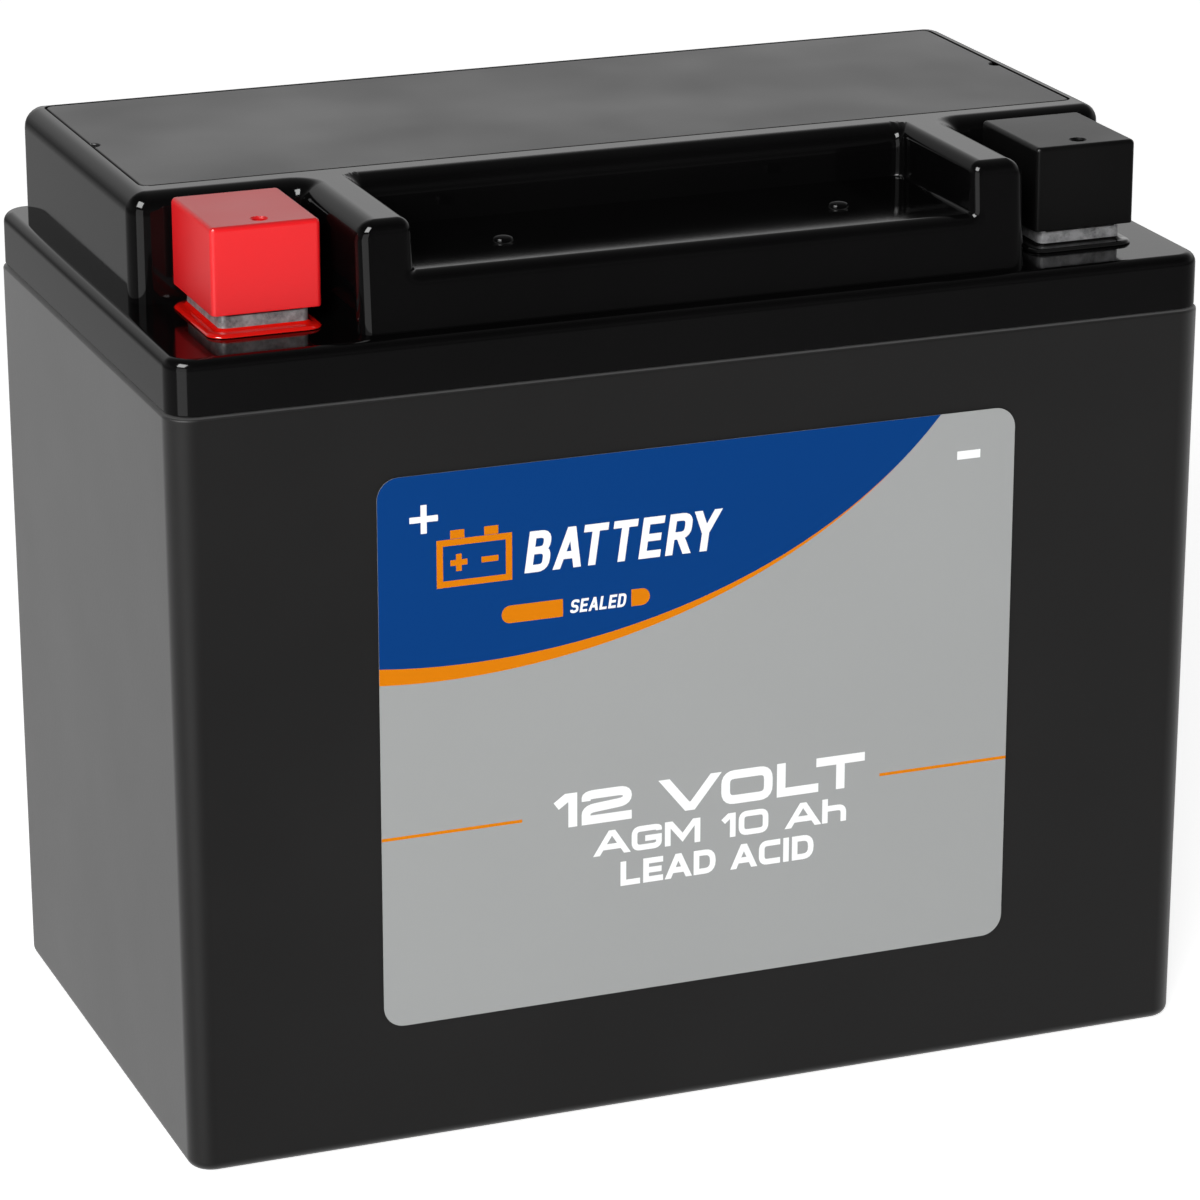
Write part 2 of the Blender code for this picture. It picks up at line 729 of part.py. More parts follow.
# ---------------------------------------------------------------- assembly

def main():
    for obj in list(bpy.data.objects):
        bpy.data.objects.remove(obj, do_unlink=True)

    shell_black = material("shell_black", (0.012, 0.012, 0.013), 0.38)
    cover_black = material("cover_black", (0.010, 0.010, 0.011), 0.22)
    plate_black = material("plate_black", (0.016, 0.016, 0.017), 0.42)
    valve_rubber = material("valve_rubber", (0.02, 0.02, 0.02), 0.8)
    porous_white = material("porous_white", (0.75, 0.74, 0.70), 0.9)
    lead = material("lead", (0.42, 0.43, 0.45), 0.42, 1.0)
    steel = material("zinc_steel", (0.62, 0.63, 0.65), 0.3, 1.0)
    cap_red = material("cap_red", (0.80, 0.02, 0.02), 0.35)
    cap_black = material("cap_black", (0.014, 0.014, 0.015), 0.35)
    seal_red = material("seal_red", (0.75, 0.03, 0.01), 0.25)
    seal_black = material("seal_black", (0.01, 0.01, 0.01), 0.2)
    ring_rubber = material("ring_rubber", (0.015, 0.015, 0.015), 0.7)
    label_grey = material("label_grey", (0.38, 0.39, 0.385), 0.5)
    plate_brown = material("plate_brown", (0.10, 0.045, 0.03), 0.8)
    plate_grey = material("plate_grey", (0.25, 0.26, 0.28), 0.7)
    glass_white = material("glass_white", (0.80, 0.80, 0.78), 0.95)

    make_container(shell_black)
    make_cover(cover_black)
    make_vent_plate(plate_black)
    for number, x in enumerate(VALVE_CENTRES, 1):
        make_valve(number, x, valve_rubber)
    for side, x in zip(("left", "right"), arrestor_places()):
        make_arrestor(side, x, porous_white)
    for pole, cap_mat, seal_mat in (("positive", cap_red, seal_red), ("negative", cap_black, seal_black)):
        make_terminal(pole, lead)
        make_nut(pole, steel)
        make_bolt(pole, steel)
        make_seal(pole, seal_mat)
        make_post_ring(pole, ring_rubber)
        make_post(pole, lead)
        make_cap(pole, cap_mat)
    make_label(label_grey)
    make_cells(plate_brown, plate_grey, glass_white, lead)


main()
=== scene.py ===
"""Looks of the motorcycle battery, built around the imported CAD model.

Metres, +Z up. The labelled front faces -Y, and +X runs towards the negative terminal.
"""
from math import cos, hypot, pi, sin

import bmesh
import bpy
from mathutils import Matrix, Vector
from mathutils.geometry import delaunay_2d_cdt


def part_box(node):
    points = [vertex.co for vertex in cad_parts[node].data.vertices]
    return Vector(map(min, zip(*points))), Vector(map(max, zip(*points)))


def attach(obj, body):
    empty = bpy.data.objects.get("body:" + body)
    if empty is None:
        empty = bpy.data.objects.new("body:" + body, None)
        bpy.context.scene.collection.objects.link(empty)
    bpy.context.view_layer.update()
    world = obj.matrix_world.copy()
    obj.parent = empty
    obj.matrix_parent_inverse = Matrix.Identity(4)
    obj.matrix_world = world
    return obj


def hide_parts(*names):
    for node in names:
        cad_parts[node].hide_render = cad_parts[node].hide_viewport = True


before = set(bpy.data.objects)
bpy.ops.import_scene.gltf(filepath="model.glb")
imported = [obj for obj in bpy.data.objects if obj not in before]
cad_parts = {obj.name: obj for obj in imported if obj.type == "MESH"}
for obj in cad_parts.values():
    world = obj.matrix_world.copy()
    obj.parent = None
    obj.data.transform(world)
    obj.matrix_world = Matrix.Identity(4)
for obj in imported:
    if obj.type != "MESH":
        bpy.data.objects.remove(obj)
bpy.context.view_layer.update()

MM = 0.001


# ---- places read from the frame

def limits(node):
    low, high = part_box(node)
    return low.x, high.x, low.y, high.y, low.z, high.z


def centre(node):
    x0, x1, y0, y1, z0, z1 = limits(node)
    return (x0 + x1) / 2, (y0 + y1) / 2, (z0 + z1) / 2


CASE_X0, CASE_X1, CASE_Y0, CASE_Y1, CASE_Z0, CASE_Z1 = limits("container")
COVER_X0, COVER_X1, COVER_Y0, COVER_Y1, COVER_Z0, COVER_Z1 = limits("cover")
PLATE_X0, PLATE_X1, PLATE_Y0, PLATE_Y1, PLATE_Z0, PLATE_Z1 = limits("vent_cover_plate")
LABEL_X0, LABEL_X1, _, _, LABEL_Z0, LABEL_Z1 = limits("label")

GAP = 0.3 * MM                    # kept between pieces that touch in the real battery

# Container
WALL = 2.5 * MM
PARTITION = 1.6 * MM
CELLS = 6
CELL_LENGTH = (CASE_X1 - CASE_X0 - 2 * WALL - (CELLS - 1) * PARTITION) / CELLS
CELL_CENTRES = [(i - (CELLS - 1) / 2) * (CELL_LENGTH + PARTITION) for i in range(CELLS)]
CASE_CORNER = 4.0 * MM
DRAFT = 0.45 * MM
FOOT_ROUND = 1.5 * MM
RIM_ROUND = 0.35 * MM
CELL_CORNER = 0.8 * MM
WELD_HOLE = 2.5 * MM

# Cover
LEDGE = 115.0 * MM
STEP_FLOOR = 122.8 * MM
DECK = 2.5 * MM
SKIRT_CORNER = 3.8 * MM
SKIRT_ROUND = 1.5 * MM
SKIRT_ROUND_BACK = 0.9 * MM
SKIRT_BOTTOM_ROUND = 0.25 * MM
PLATEAU_X0 = -71.3 * MM
PLATEAU_X1 = 72.6 * MM
PLATEAU_Y0 = -15.0 * MM
PLATEAU_Y1 = 41.6 * MM
PLATEAU_CORNER = 2.9 * MM
PLATEAU_LEFT_ROUND = 2.9 * MM
PLATEAU_RIGHT_ROUND = 2.2 * MM
PLATEAU_BACK_ROUND = 1.6 * MM
PLATEAU_FRONT_ROUND = 3.0 * MM
LEAST_RADIUS = 0.05 * MM
BLOCK_X0 = -47.6 * MM
BLOCK_X1 = 49.0 * MM
BLOCK_Y0 = -40.2 * MM
BLOCK_LEAN = 0.08                 # how far the block's front leans back for each metre of height
BLOCK_CORNER = 2.5 * MM
ARM_ROUND = 1.8 * MM
ARM_OUTER_ROUND = 3.1 * MM
STEP_X0 = -39.8 * MM
STEP_X1 = 40.9 * MM
INNER_CORNER = 1.5 * MM
STEP_FILLET = 0.5 * MM              # along the foot of the step's side walls
STEP_CORNER = 1.6 * MM              # where the side walls meet the back wall
CHAMBER_RIM = 1.3 * MM
CHAMBER_FLOOR = 118.6 * MM
PLATE_THICKNESS = 2.0 * MM
PLATE_CLEARANCE = 0.33 * MM
PLATE_CORNER = 1.2 * MM
NECK_RADIUS = 4.6 * MM
NECK_BORE = 3.1 * MM
NECK_TOP = 123.8 * MM
STUB_HOLE = 5.3 * MM

# What stands in the cover
POLES = ("positive", "negative")
ARRESTORS = ("flame_arrestor_left", "flame_arrestor_right")
VALVE_PLACES = [centre(f"vent_valve_{number}")[:2] for number in range(1, CELLS + 1)]
ARRESTOR_PLACES = [centre(node)[:2] for node in ARRESTORS]
ARRESTOR_BOTTOM = limits(ARRESTORS[0])[4]
TERMINAL_PLACES = {pole: centre(f"{pole}_terminal")[:2] for pole in POLES}
ARRESTOR_RADIUS = 3.0 * MM
GATE_MARKS = ((-23.8 * MM, -26.8 * MM), (25.5 * MM, -26.6 * MM))
GATE_RADIUS = 4.3 * MM
GATE_DEPTH = 0.16 * MM
NUB_RADIUS = 1.5 * MM
NUB_HEIGHT = 0.6 * MM

# Vent plate
NOTCH_RADIUS = 1.1 * MM
PAD_RADIUS = 3.5 * MM
PAD_CHAMFER = 0.3 * MM
PLATE_EDGE = 0.22 * MM
RIB_DEPTH = 0.7 * MM
RIB_WIDTH = 1.0 * MM
RIB_PITCH = 16.0 * MM

# Terminals
STUB_RADIUS = 5.0 * MM
BOLT_HOLE = 3.3 * MM
BOLT_RADIUS = 2.95 * MM
POST_HOLE = 3.9 * MM
HEX_RADIUS = 4.87 * MM            # over the corners of the bolt's head
HEAD_HEIGHT = 3.0 * MM            # of the bolt, with its washer
WASHER_HEIGHT = 0.8 * MM
RECESS_DEPTH = 1.3 * MM
SEAL_CLEARANCE = 0.12 * MM

# Caps
CAP_WALL = 1.1 * MM
CAP_CORNER = 0.75 * MM
PROBE_RADIUS = 0.95 * MM
PROBE_RIM = 1.3 * MM


# ---- materials

def shader_material(name):
    mat = bpy.data.materials.new(name)
    mat.use_nodes = True
    return mat, mat.node_tree, mat.node_tree.nodes["Principled BSDF"]


def settings(node, **values):
    """Sets sockets by name, where an underscore stands for a space."""
    for name, value in values.items():
        node.inputs[name.replace("_", " ")].default_value = value


def scaled(colour, factor):
    return tuple(min(channel * factor, 1.0) for channel in colour)


def arithmetic(tree, operation, *inputs):
    """Math node. Each input is an output socket or a number."""
    node = tree.nodes.new("ShaderNodeMath")
    node.operation = operation
    for socket, value in zip(node.inputs, inputs):
        if isinstance(value, float):
            socket.default_value = value
        else:
            tree.links.new(value, socket)
    return node.outputs["Value"]


def object_coordinates(tree, scale=(1.0, 1.0, 1.0)):
    coords = tree.nodes.new("ShaderNodeTexCoord")
    mapping = tree.nodes.new("ShaderNodeMapping")
    mapping.inputs["Scale"].default_value = scale
    tree.links.new(coords.outputs["Object"], mapping.inputs["Vector"])
    return mapping.outputs["Vector"]


def noise(tree, vector, scale, detail=3.0, roughness=0.5):
    node = tree.nodes.new("ShaderNodeTexNoise")
    settings(node, Scale=scale, Detail=detail, Roughness=roughness)
    tree.links.new(vector, node.inputs["Vector"])
    return node.outputs["Fac"]


def remap(tree, value, low, high, start=0.3, end=0.7):
    node = tree.nodes.new("ShaderNodeMapRange")
    settings(node, From_Min=start, From_Max=end, To_Min=low, To_Max=high)
    tree.links.new(value, node.inputs["Value"])
    return node.outputs["Result"]


def mixed(tree, factor, first, second):
    """Plain mix of two numbers, where the second may be a constant."""
    node = tree.nodes.new("ShaderNodeMix")
    tree.links.new(factor, node.inputs["Factor"])
    tree.links.new(first, node.inputs["A"])
    if isinstance(second, float):
        node.inputs["B"].default_value = second
    else:
        tree.links.new(second, node.inputs["B"])
    return node.outputs["Result"]


def colour_ramp(tree, value, stops):
    node = tree.nodes.new("ShaderNodeValToRGB")
    ramp = node.color_ramp
    while len(ramp.elements) < len(stops):
        ramp.elements.new(0.5)
    for element, (position, colour) in zip(ramp.elements, stops):
        element.position = position
        element.color = (*colour, 1.0)
    tree.links.new(value, node.inputs["Fac"])
    return node.outputs["Color"]


def paint(tree, shader, value, stops):
    tree.links.new(colour_ramp(tree, value, stops), shader.inputs["Base Color"])


def gloss(tree, shader, value, low, high):
    tree.links.new(remap(tree, value, low, high), shader.inputs["Roughness"])


def bump(tree, shader, layers):
    """Chain of bumps: (height output, distance in metres, strength)."""
    last = None
    for height, distance, strength in layers:
        node = tree.nodes.new("ShaderNodeBump")
        settings(node, Distance=distance, Strength=strength)
        tree.links.new(height, node.inputs["Height"])
        if last is not None:
            tree.links.new(last, node.inputs["Normal"])
        last = node.outputs["Normal"]
    tree.links.new(last, shader.inputs["Normal"])


def plastic(name, colour, roughness, spread=0.04, tint=0.15, grain=900.0, grain_depth=0.000004,
            wave_depth=0.00001, coat=0.0, specular=0.5, sheen=0.0):
    """Moulded plastic: slightly uneven gloss, fine grain and the long waves of a moulded face."""
    mat, tree, shader = shader_material(name)
    vector = object_coordinates(tree)
    broad = noise(tree, vector, 38.0, 2.0)
    fine = noise(tree, vector, grain, 2.0, 0.6)
    wave = noise(tree, vector, 55.0, 1.0, 0.3)
    paint(tree, shader, broad, [(0.3, scaled(colour, 1 - tint)), (0.7, scaled(colour, 1 + tint))])
    gloss(tree, shader, broad, roughness - spread, roughness + spread)
    bump(tree, shader, [(wave, wave_depth, 1.0), (fine, grain_depth, 1.0)])
    settings(shader, Coat_Weight=coat, Coat_Roughness=0.08, Specular_IOR_Level=specular, Sheen_Weight=sheen)
    return mat


def cast_lead(name, colour):
    mat, tree, shader = shader_material(name)
    vector = object_coordinates(tree)
    blotch = noise(tree, vector, 620.0, 5.0, 0.7)
    pits = noise(tree, vector, 1500.0, 3.0, 0.6)
    paint(tree, shader, blotch, [(0.3, scaled(colour, 0.3)), (0.62, colour)])
    gloss(tree, shader, blotch, 0.54, 0.32)
    settings(shader, Metallic=0.55)
    bump(tree, shader, [(blotch, 0.00009, 1.0), (pits, 0.000012, 0.8)])
    return mat


def plated_steel(name):
    mat, tree, shader = shader_material(name)
    streaks = noise(tree, object_coordinates(tree, (1.0, 1.0, 6.0)), 900.0, 3.0, 0.6)
    cloud = noise(tree, object_coordinates(tree), 160.0, 2.0)
    paint(tree, shader, cloud, [(0.35, (0.60, 0.58, 0.50)), (0.65, (0.68, 0.69, 0.71))])
    gloss(tree, shader, streaks, 0.2, 0.36)
    settings(shader, Metallic=1.0)
    bump(tree, shader, [(streaks, 0.000006, 0.6)])
    return mat


def rubber(name):
    mat, tree, shader = shader_material(name)
    dust = noise(tree, object_coordinates(tree), 420.0, 4.0, 0.7)
    paint(tree, shader, dust, [(0.4, (0.018, 0.018, 0.019)), (0.75, (0.05, 0.049, 0.047))])
    gloss(tree, shader, dust, 0.62, 0.82)
    bump(tree, shader, [(dust, 0.00002, 0.7)])
    return mat


def sintered(name):
    mat, tree, shader = shader_material(name)
    cells = tree.nodes.new("ShaderNodeTexVoronoi")
    settings(cells, Scale=4200.0)
    tree.links.new(object_coordinates(tree), cells.inputs["Vector"])
    paint(tree, shader, cells.outputs["Distance"], [(0.1, (0.82, 0.81, 0.77)), (0.7, (0.55, 0.53, 0.49))])
    settings(shader, Roughness=0.9)
    bump(tree, shader, [(cells.outputs["Distance"], -0.00008, 0.8)])
    return mat


def pasted_plate(name, colour):
    """Dried paste in a grid: fine cracks, and a faint lattice of grid bars."""
    mat, tree, shader = shader_material(name)
    vector = object_coordinates(tree)
    grain = noise(tree, vector, 1300.0, 6.0, 0.7)
    split = tree.nodes.new("ShaderNodeSeparateXYZ")
    tree.links.new(vector, split.inputs["Vector"])
    lines = []
    for axis, pitch in (("Y", 0.0075), ("Z", 0.0048)):
        away = arithmetic(tree, "PINGPONG", split.outputs[axis], pitch / 2)
        lines.append(remap(tree, away, 1.0, 0.0, 0.0003, 0.0006))
    lattice = arithmetic(tree, "MAXIMUM", *lines)
    base = colour_ramp(tree, grain, [(0.3, scaled(colour, 0.6)), (0.7, colour)])
    mix = tree.nodes.new("ShaderNodeMix")
    mix.data_type = "RGBA"
    settings(mix, B=(*(channel * 1.5 + 0.03 for channel in colour), 1.0))
    tree.links.new(lattice, mix.inputs["Factor"])
    tree.links.new(base, mix.inputs["A"])
    tree.links.new(mix.outputs["Result"], shader.inputs["Base Color"])
    settings(shader, Roughness=0.85)
    bump(tree, shader, [(lattice, 0.00012, 0.7), (grain, 0.00004, 0.8)])
    return mat


def glass_mat(name):
    mat, tree, shader = shader_material(name)
    fibres = noise(tree, object_coordinates(tree, (1.0, 1.0, 0.35)), 2600.0, 6.0, 0.75)
    soft = noise(tree, object_coordinates(tree), 180.0, 3.0)
    paint(tree, shader, soft, [(0.3, (0.74, 0.73, 0.69)), (0.7, (0.86, 0.86, 0.84))])
    settings(shader, Roughness=0.95, Sheen_Weight=0.3)
    bump(tree, shader, [(soft, 0.0001, 0.5), (fibres, 0.00003, 1.0)])
    return mat


def printed_film(name, colour):
    """Ink on a plastic film: very even, with a faint orange peel."""
    mat, tree, shader = shader_material(name)
    vector = object_coordinates(tree)
    peel = noise(tree, vector, 700.0, 2.0)
    broad = noise(tree, vector, 30.0, 2.0)
    paint(tree, shader, broad, [(0.35, scaled(colour, 0.985)), (0.65, colour)])
    gloss(tree, shader, broad, 0.39, 0.45)
    settings(shader, Specular_IOR_Level=0.06)
    bump(tree, shader, [(peel, 0.0000025, 1.0)])
    return mat


CASE_BLACK = plastic("case_black", (0.0026, 0.0023, 0.0022), 0.48, grain=1400.0, grain_depth=0.000009,
                     wave_depth=0.000012, specular=0.3, sheen=0.29)
COVER_BLACK = plastic("cover_gloss_black", (0.0026, 0.0025, 0.0026), 0.085, spread=0.02, grain=700.0,
                      grain_depth=0.000001, wave_depth=0.000006, specular=0.19)
PLATE_BLACK = plastic("plate_satin_black", (0.014, 0.014, 0.0142), 0.36, grain=2200.0,
                      grain_depth=0.000006, wave_depth=0.000006)
CAP_RED = plastic("cap_red", (0.82, 0.009, 0.013), 0.34, tint=0.03, grain=2000.0, grain_depth=0.000005)
CAP_BLACK = plastic("cap_black", (0.0035, 0.0034, 0.0034), 0.34, grain=2000.0, grain_depth=0.000006,
                    specular=0.2)
POURED = {"grain": 500.0, "grain_depth": 0.000001, "wave_depth": 0.00004, "coat": 0.5}
RESIN_RED = plastic("resin_red", (0.86, 0.008, 0.004), 0.08, tint=0.06, **POURED)
RESIN_BLACK = plastic("resin_black", (0.006, 0.006, 0.006), 0.08, **POURED)
LEAD = cast_lead("cast_lead", (0.56, 0.56, 0.57))
STEEL = plated_steel("zinc_plated_steel")
RUBBER = rubber("valve_rubber")
SINTERED = sintered("porous_plastic")
PLATE_BROWN = pasted_plate("positive_paste", (0.115, 0.05, 0.032))
PLATE_GREY = pasted_plate("negative_paste", (0.24, 0.25, 0.27))
GLASS = glass_mat("glass_mat")
INK_GREY = printed_film("ink_grey", (0.323, 0.330, 0.328))
INK_BLUE = printed_film("ink_blue", (0.0, 0.040, 0.190))
INK_ORANGE = printed_film("ink_orange", (0.64, 0.185, 0.0))
INK_WHITE = printed_film("ink_white", (0.86, 0.87, 0.87))


# ---- mesh helpers

def arc(cx, cy, radius, start, end, steps):
    angles = [start + (end - start) * i / steps for i in range(steps + 1)]
    return [(cx + radius * cos(a), cy + radius * sin(a)) for a in angles]


def circle(x, y, radius, steps):
    return arc(x, y, radius, 0, 2 * pi, steps)[:-1]


def quarter_turn(steps):
    """Angles from 0 to a right angle."""
    return [pi / 2 * i / steps for i in range(steps + 1)]


def rounded_rectangle(x0, x1, y0, y1, radius, steps=10):
    points = arc(x1 - radius, y0 + radius, radius, -pi / 2, 0, steps)
    points += arc(x1 - radius, y1 - radius, radius, 0, pi / 2, steps)
    points += arc(x0 + radius, y1 - radius, radius, pi / 2, pi, steps)
    points += arc(x0 + radius, y0 + radius, radius, pi, 3 * pi / 2, steps)
    return points


def loft(bm, loops, closed=False):
    """Skin over loops of points, capped at both ends, or closed from the last loop to the first."""
    rings = [[bm.verts.new(point) for point in loop] for loop in loops]
    count = len(rings[0])
    for low, high in zip(rings, rings[1:] + rings[:1] if closed else rings[1:]):
        for i in range(count):
            j = (i + 1) % count
            bm.faces.new((low[i], low[j], high[j], high[i]))
    if not closed:
        bm.faces.new(list(reversed(rings[0])))
        bm.faces.new(rings[-1])


def upright(z0, z1, *outlines):
    """Builder of a prism over each outline."""
    def build(bm):
        for outline in outlines:
            loft(bm, [[(x, y, z) for x, y in outline] for z in (z0, z1)])
    return build


def bars(places, z0, z1, radius, steps=32):
    """Builder of an upright round bar at each place."""
    return upright(z0, z1, *[circle(x, y, radius, steps) for x, y in places])


def soft_block(x0, x1, y0, y1, z0, z1, corner, top, foot, draft=0.0, steps=6, edge_steps=4):
    """Builder of a block with round upright corners, rounded top and foot edges and a little draft."""
    turns = quarter_turn(edge_steps)
    levels = [(z0 + foot * (1 - cos(a)), foot * (1 - sin(a))) for a in turns]
    levels += [(z1 - top * (1 - sin(a)), top * (1 - cos(a))) for a in turns]
    loops = []
    for z, inset in levels:
        inset += draft * (z1 - z) / (z1 - z0)
        outline = rounded_rectangle(x0 + inset, x1 - inset, y0 + inset, y1 - inset,
                                    max(corner - inset, corner / 4), steps)
        loops.append([(x, y, z) for x, y in outline])
    return lambda bm: loft(bm, loops)


def turned(bm, x, y, profile, steps=48):
    """Solid of revolution from an (r, z) profile that starts and ends on the axis."""
    rings = []
    for radius, z in profile:
        if radius == 0:
            rings.append([bm.verts.new((x, y, z))])
        else:
            rings.append([bm.verts.new((px, py, z)) for px, py in circle(x, y, radius, steps)])
    for low, high in zip(rings, rings[1:]):
        for i in range(steps):
            j = (i + 1) % steps
            corners = [low[i % len(low)], low[j % len(low)], high[j % len(high)], high[i % len(high)]]
            bm.faces.new(list(dict.fromkeys(corners)))


def mesh_object(name, build):
    bm = bmesh.new()
    build(bm)
    bmesh.ops.recalc_face_normals(bm, faces=bm.faces)
    mesh = bpy.data.meshes.new(name)
    bm.to_mesh(mesh)
    bm.free()
    obj = bpy.data.objects.new(name, mesh)
    bpy.context.collection.objects.link(obj)
    return obj


def settle(obj):
    """Replaces the object's mesh by what its modifiers make of it."""
    graph = bpy.context.evaluated_depsgraph_get()
    done = bpy.data.meshes.new_from_object(obj.evaluated_get(graph))
    old = obj.data
    obj.modifiers.clear()
    obj.data = done
    done.name = obj.name
    bpy.data.meshes.remove(old)
    return obj


def boolean(obj, operation, *builds):
    """Joins or cuts with each helper in turn, and applies the result."""
    for build in builds:
        helper = mesh_object("helper", build)
        modifier = obj.modifiers.new("boolean", "BOOLEAN")
        modifier.operation = operation
        modifier.solver = "EXACT"
        modifier.object = helper
        settle(obj)
        bpy.data.meshes.remove(helper.data)        # and the helper with it
    return obj


def shade(obj):
    """Smooth shading that keeps flat faces flat."""
    obj.data.shade_smooth()
    obj.data.set_sharp_from_angle(angle=pi / 5)
    modifier = obj.modifiers.new("normals", "WEIGHTED_NORMAL")
    modifier.keep_sharp = True
    modifier.weight = 90
    return obj


def dress(obj, mats):
    if obj.data.materials:           # clearing also resets which material each face has
        obj.data.materials.clear()
    for mat in mats:
        obj.data.materials.append(mat)


def place(obj, mats, body, node):
    dress(obj, mats)
    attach(obj, body)
    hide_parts(node)


# ---- container

def front_of_case(z):
    """Y of the drafted front wall at height z."""
    return CASE_Y0 + DRAFT * (CASE_Z1 - z) / (CASE_Z1 - CASE_Z0)


def cell_outline(x, steps):
    """Inside of the cell whose centre is at x."""
    half = CELL_LENGTH / 2
    return rounded_rectangle(x - half, x + half, CASE_Y0 + WALL, CASE_Y1 - WALL, CELL_CORNER, steps)


def make_container():
    def weld_holes(bm):
        for number in range(1, CELLS):
            x, y, z = centre(f"intercell_weld_{number}")
            ring = circle(y, z, WELD_HOLE, 24)
            loft(bm, [[(px, a, b) for a, b in ring] for px in (x - PARTITION, x + PARTITION)])

    shell = soft_block(CASE_X0, CASE_X1, CASE_Y0, CASE_Y1, CASE_Z0, CASE_Z1, CASE_CORNER,
                       top=RIM_ROUND, foot=FOOT_ROUND, draft=DRAFT, steps=12, edge_steps=6)
    cells = upright(CASE_Z0 + WALL, CASE_Z1 + WALL, *[cell_outline(x, 4) for x in CELL_CENTRES])
    container = mesh_object("container_shell", shell)
    boolean(container, "DIFFERENCE", cells, weld_holes)
    place(shade(container), [CASE_BLACK], "case", "container")


# ---- cover

def block_front(z):
    return BLOCK_Y0 + BLOCK_LEAN * (z - LEDGE)


def corner_point(corners, i, share, before, after):
    """Point on the rounded outline at corner i, where its two edges have moved into the material.

    The corners are (x, y, radius), counter-clockwise, and every turn is a right angle.
    """
    (ax, ay, _), (bx, by, radius), (cx, cy, _) = corners[i - 1], corners[i], corners[(i + 1) % len(corners)]
    first = hypot(bx - ax, by - ay)
    second = hypot(cx - bx, cy - by)
    n1 = ((ay - by) / first, (bx - ax) / first)
    n2 = ((by - cy) / second, (cx - bx) / second)
    convex = (bx - ax) * (cy - by) - (by - ay) * (cx - bx) > 0
    side = 1 if convex else -1
    ra = max(radius - side * before, LEAST_RADIUS)
    rb = max(radius - side * after, LEAST_RADIUS)
    along1 = before + side * ra * (1 - cos(share * pi / 2))
    along2 = after + side * rb * (1 - sin(share * pi / 2))
    return bx + n1[0] * along1 + n2[0] * along2, by + n1[1] * along1 + n2[1] * along2


def contour_loft(bm, corners_at, edge_rounds, levels, steps):
    """Solid over a rounded outline. Each level turns an edge's rounding radius into (z, inset)."""
    loops = []
    for level in levels:
        loop = []
        for i in range(len(edge_rounds)):
            z_before, before = level(edge_rounds[i - 1])
            z_after, after = level(edge_rounds[i])
            for step in range(steps + 1):
                share = step / steps
                z = z_before + (z_after - z_before) * share
                loop.append((*corner_point(corners_at(z), i, share, before, after), z))
        loops.append(loop)
    loft(bm, loops)


def rounded_top(z1, steps=7):
    """Levels of a rounded top edge."""
    return [lambda radius, a=angle: (z1 - radius * (1 - sin(a)), radius * (1 - cos(a)))
            for angle in quarter_turn(steps)]


def skirt_form(bm):
    corners = [(COVER_X0, COVER_Y0, SKIRT_CORNER), (COVER_X1, COVER_Y0, SKIRT_CORNER),
               (COVER_X1, COVER_Y1, SKIRT_CORNER), (COVER_X0, COVER_Y1, SKIRT_CORNER)]
    rounds = [SKIRT_ROUND, SKIRT_ROUND, SKIRT_ROUND_BACK, SKIRT_ROUND]
    base = SKIRT_BOTTOM_ROUND
    levels = [lambda radius: (COVER_Z0, base), lambda radius: (COVER_Z0 + 0.3 * base, 0.3 * base),
              lambda radius: (COVER_Z0 + base, 0.0)]
    contour_loft(bm, lambda z: corners, rounds, levels + rounded_top(LEDGE), 10)


def upper_form(bm):
    """Plateau and front block in one piece, with a rounded top edge."""
    def corners_at(z):
        front = block_front(z)
        return [(PLATEAU_X0, PLATEAU_Y0, PLATEAU_CORNER), (BLOCK_X0, PLATEAU_Y0, INNER_CORNER),
                (BLOCK_X0, front, BLOCK_CORNER), (BLOCK_X1, front, BLOCK_CORNER),
                (BLOCK_X1, PLATEAU_Y0, INNER_CORNER), (PLATEAU_X1, PLATEAU_Y0, PLATEAU_CORNER),
                (PLATEAU_X1, PLATEAU_Y1, PLATEAU_CORNER), (PLATEAU_X0, PLATEAU_Y1, PLATEAU_CORNER)]

    rounds = [PLATEAU_FRONT_ROUND, ARM_OUTER_ROUND, ARM_ROUND, ARM_OUTER_ROUND, PLATEAU_FRONT_ROUND,
              PLATEAU_RIGHT_ROUND, PLATEAU_BACK_ROUND, PLATEAU_LEFT_ROUND]
    contour_loft(bm, corners_at, rounds, [lambda radius: (LEDGE - DECK / 2, 0.0)] + rounded_top(COVER_Z1), 8)


